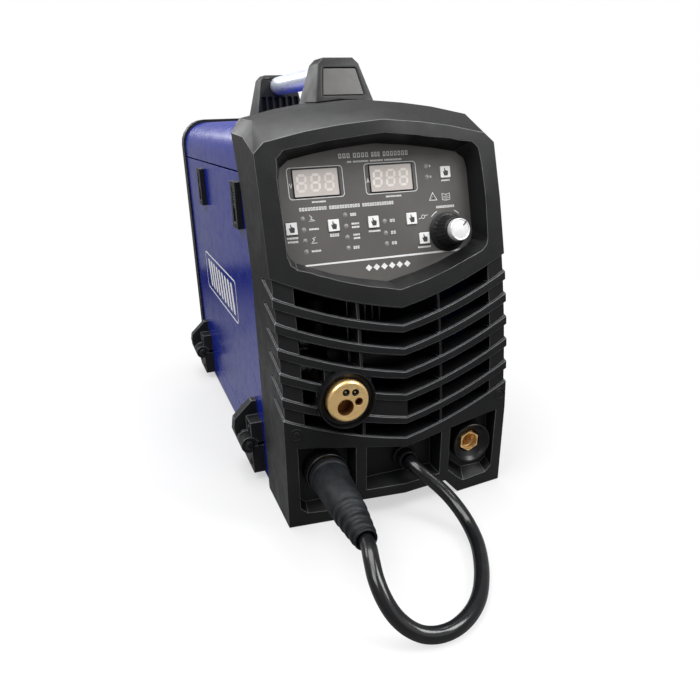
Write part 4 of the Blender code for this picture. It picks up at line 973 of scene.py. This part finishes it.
# ------------------------------------------------------------------------------------------
# floor, light, camera
# ------------------------------------------------------------------------------------------
WHITE = (1.0, 1.0, 1.0, 1.0)
WORLD_LIGHT = 0.3             # what the world gives to the machine; the camera sees it white
FLOOR_RADIUS = 0.95
LAMPS = (                     # name, place in metres, size in metres, power in watts
    ("key", (-0.9, -0.7, 1.5), 0.9, 18.0), ("fill", (1.0, -0.9, 1.4), 0.8, 24.0),
    ("top", (-0.1, 0.1, 1.6), 1.3, 34.0), ("rim", (-1.2, 1.0, 1.2), 0.7, 8.0),
    ("back", (-0.5, 1.5, 0.85), 0.5, 3.0), ("front", (0.45, -1.5, 0.8), 0.9, 1.6))
LIT_POINT = Vector((0.0, 0.0, 0.17))
CAMERA_PLACE = at(-221.3, -484.1, 340.6)
CAMERA_YAW, CAMERA_PITCH, CAMERA_ROLL = 0.3467, -0.337, -0.0342
CAMERA_LENS, CAMERA_SENSOR = 33.835, 36.0


def make_floor():
    """A pale disc that darkens outwards for the light, and glows white for the camera."""
    mesh = bpy.data.meshes.new("floor")
    bm = bmesh.new()
    bmesh.ops.create_circle(bm, cap_ends=True, segments=96, radius=FLOOR_RADIUS)
    bm.to_mesh(mesh)
    bm.free()
    floor = new_object("floor", mesh)
    floor.location.z = -0.0004
    s = Surface("floor_paper", (0.24, 0.24, 0.242), 0.8, Specular_IOR_Level=0.1)
    s.vary_colour(s.noise(2.0, 3.0), 0.3, 0.8, (0.23, 0.23, 0.233))
    distance = s.node("ShaderNodeVectorMath", operation="LENGTH")
    s.link(s.coords, distance.inputs[0])
    s.vary_colour(distance.outputs["Value"], 0.2, 0.8, (0.0, 0.0, 0.0))
    glow = s.node("ShaderNodeMath", operation="MULTIPLY")
    s.link(s.remap(distance.outputs["Value"], 0.15, 0.7, 0.5, 1.0), glow.inputs[0])
    s.link(s.node("ShaderNodeLightPath").outputs["Is Camera Ray"], glow.inputs[1])
    s.set("Emission Color", WHITE)
    s.link(glow.outputs[0], s.shader.inputs["Emission Strength"])
    mesh.materials.append(s.mat)


def make_world():
    world = bpy.data.worlds.new("studio")
    bpy.context.scene.world = world
    world.use_nodes = True
    tree = world.node_tree
    background = tree.nodes["Background"]
    background.inputs["Color"].default_value = WHITE
    sight = tree.nodes.new("ShaderNodeLightPath").outputs["Is Camera Ray"]
    strength = tree.nodes.new("ShaderNodeMapRange")
    strength.inputs["To Min"].default_value = WORLD_LIGHT
    tree.links.new(sight, strength.inputs["Value"])
    tree.links.new(strength.outputs["Result"], background.inputs["Strength"])


def make_lamps():
    for name, place, size, power in LAMPS:
        light = bpy.data.lights.new(name, "AREA")
        light.energy, light.size = power, size
        lamp = new_object(name, light)
        lamp.location = place
        lamp.rotation_euler = (LIT_POINT - lamp.location).to_track_quat("-Z", "Y").to_euler()


def make_camera():
    yaw, pitch, roll = CAMERA_YAW, CAMERA_PITCH, CAMERA_ROLL
    forward = Vector((math.sin(yaw) * math.cos(pitch), math.cos(yaw) * math.cos(pitch), math.sin(pitch)))
    right = Vector((math.cos(yaw), -math.sin(yaw), 0.0))
    up = right.cross(forward)
    axis_x = right * math.cos(roll) + up * math.sin(roll)
    axis_y = -right * math.sin(roll) + up * math.cos(roll)
    data = bpy.data.cameras.new("camera")
    data.sensor_width, data.lens = CAMERA_SENSOR, CAMERA_LENS
    data.clip_start = 0.02
    camera = new_object("camera", data)
    turned = Matrix((axis_x, axis_y, -forward)).transposed().to_4x4()
    camera.matrix_world = Matrix.Translation(CAMERA_PLACE) @ turned
    bpy.context.scene.camera = camera


make_floor()
make_world()
make_lamps()
make_camera()
bpy.context.scene.view_settings.view_transform = "Standard"
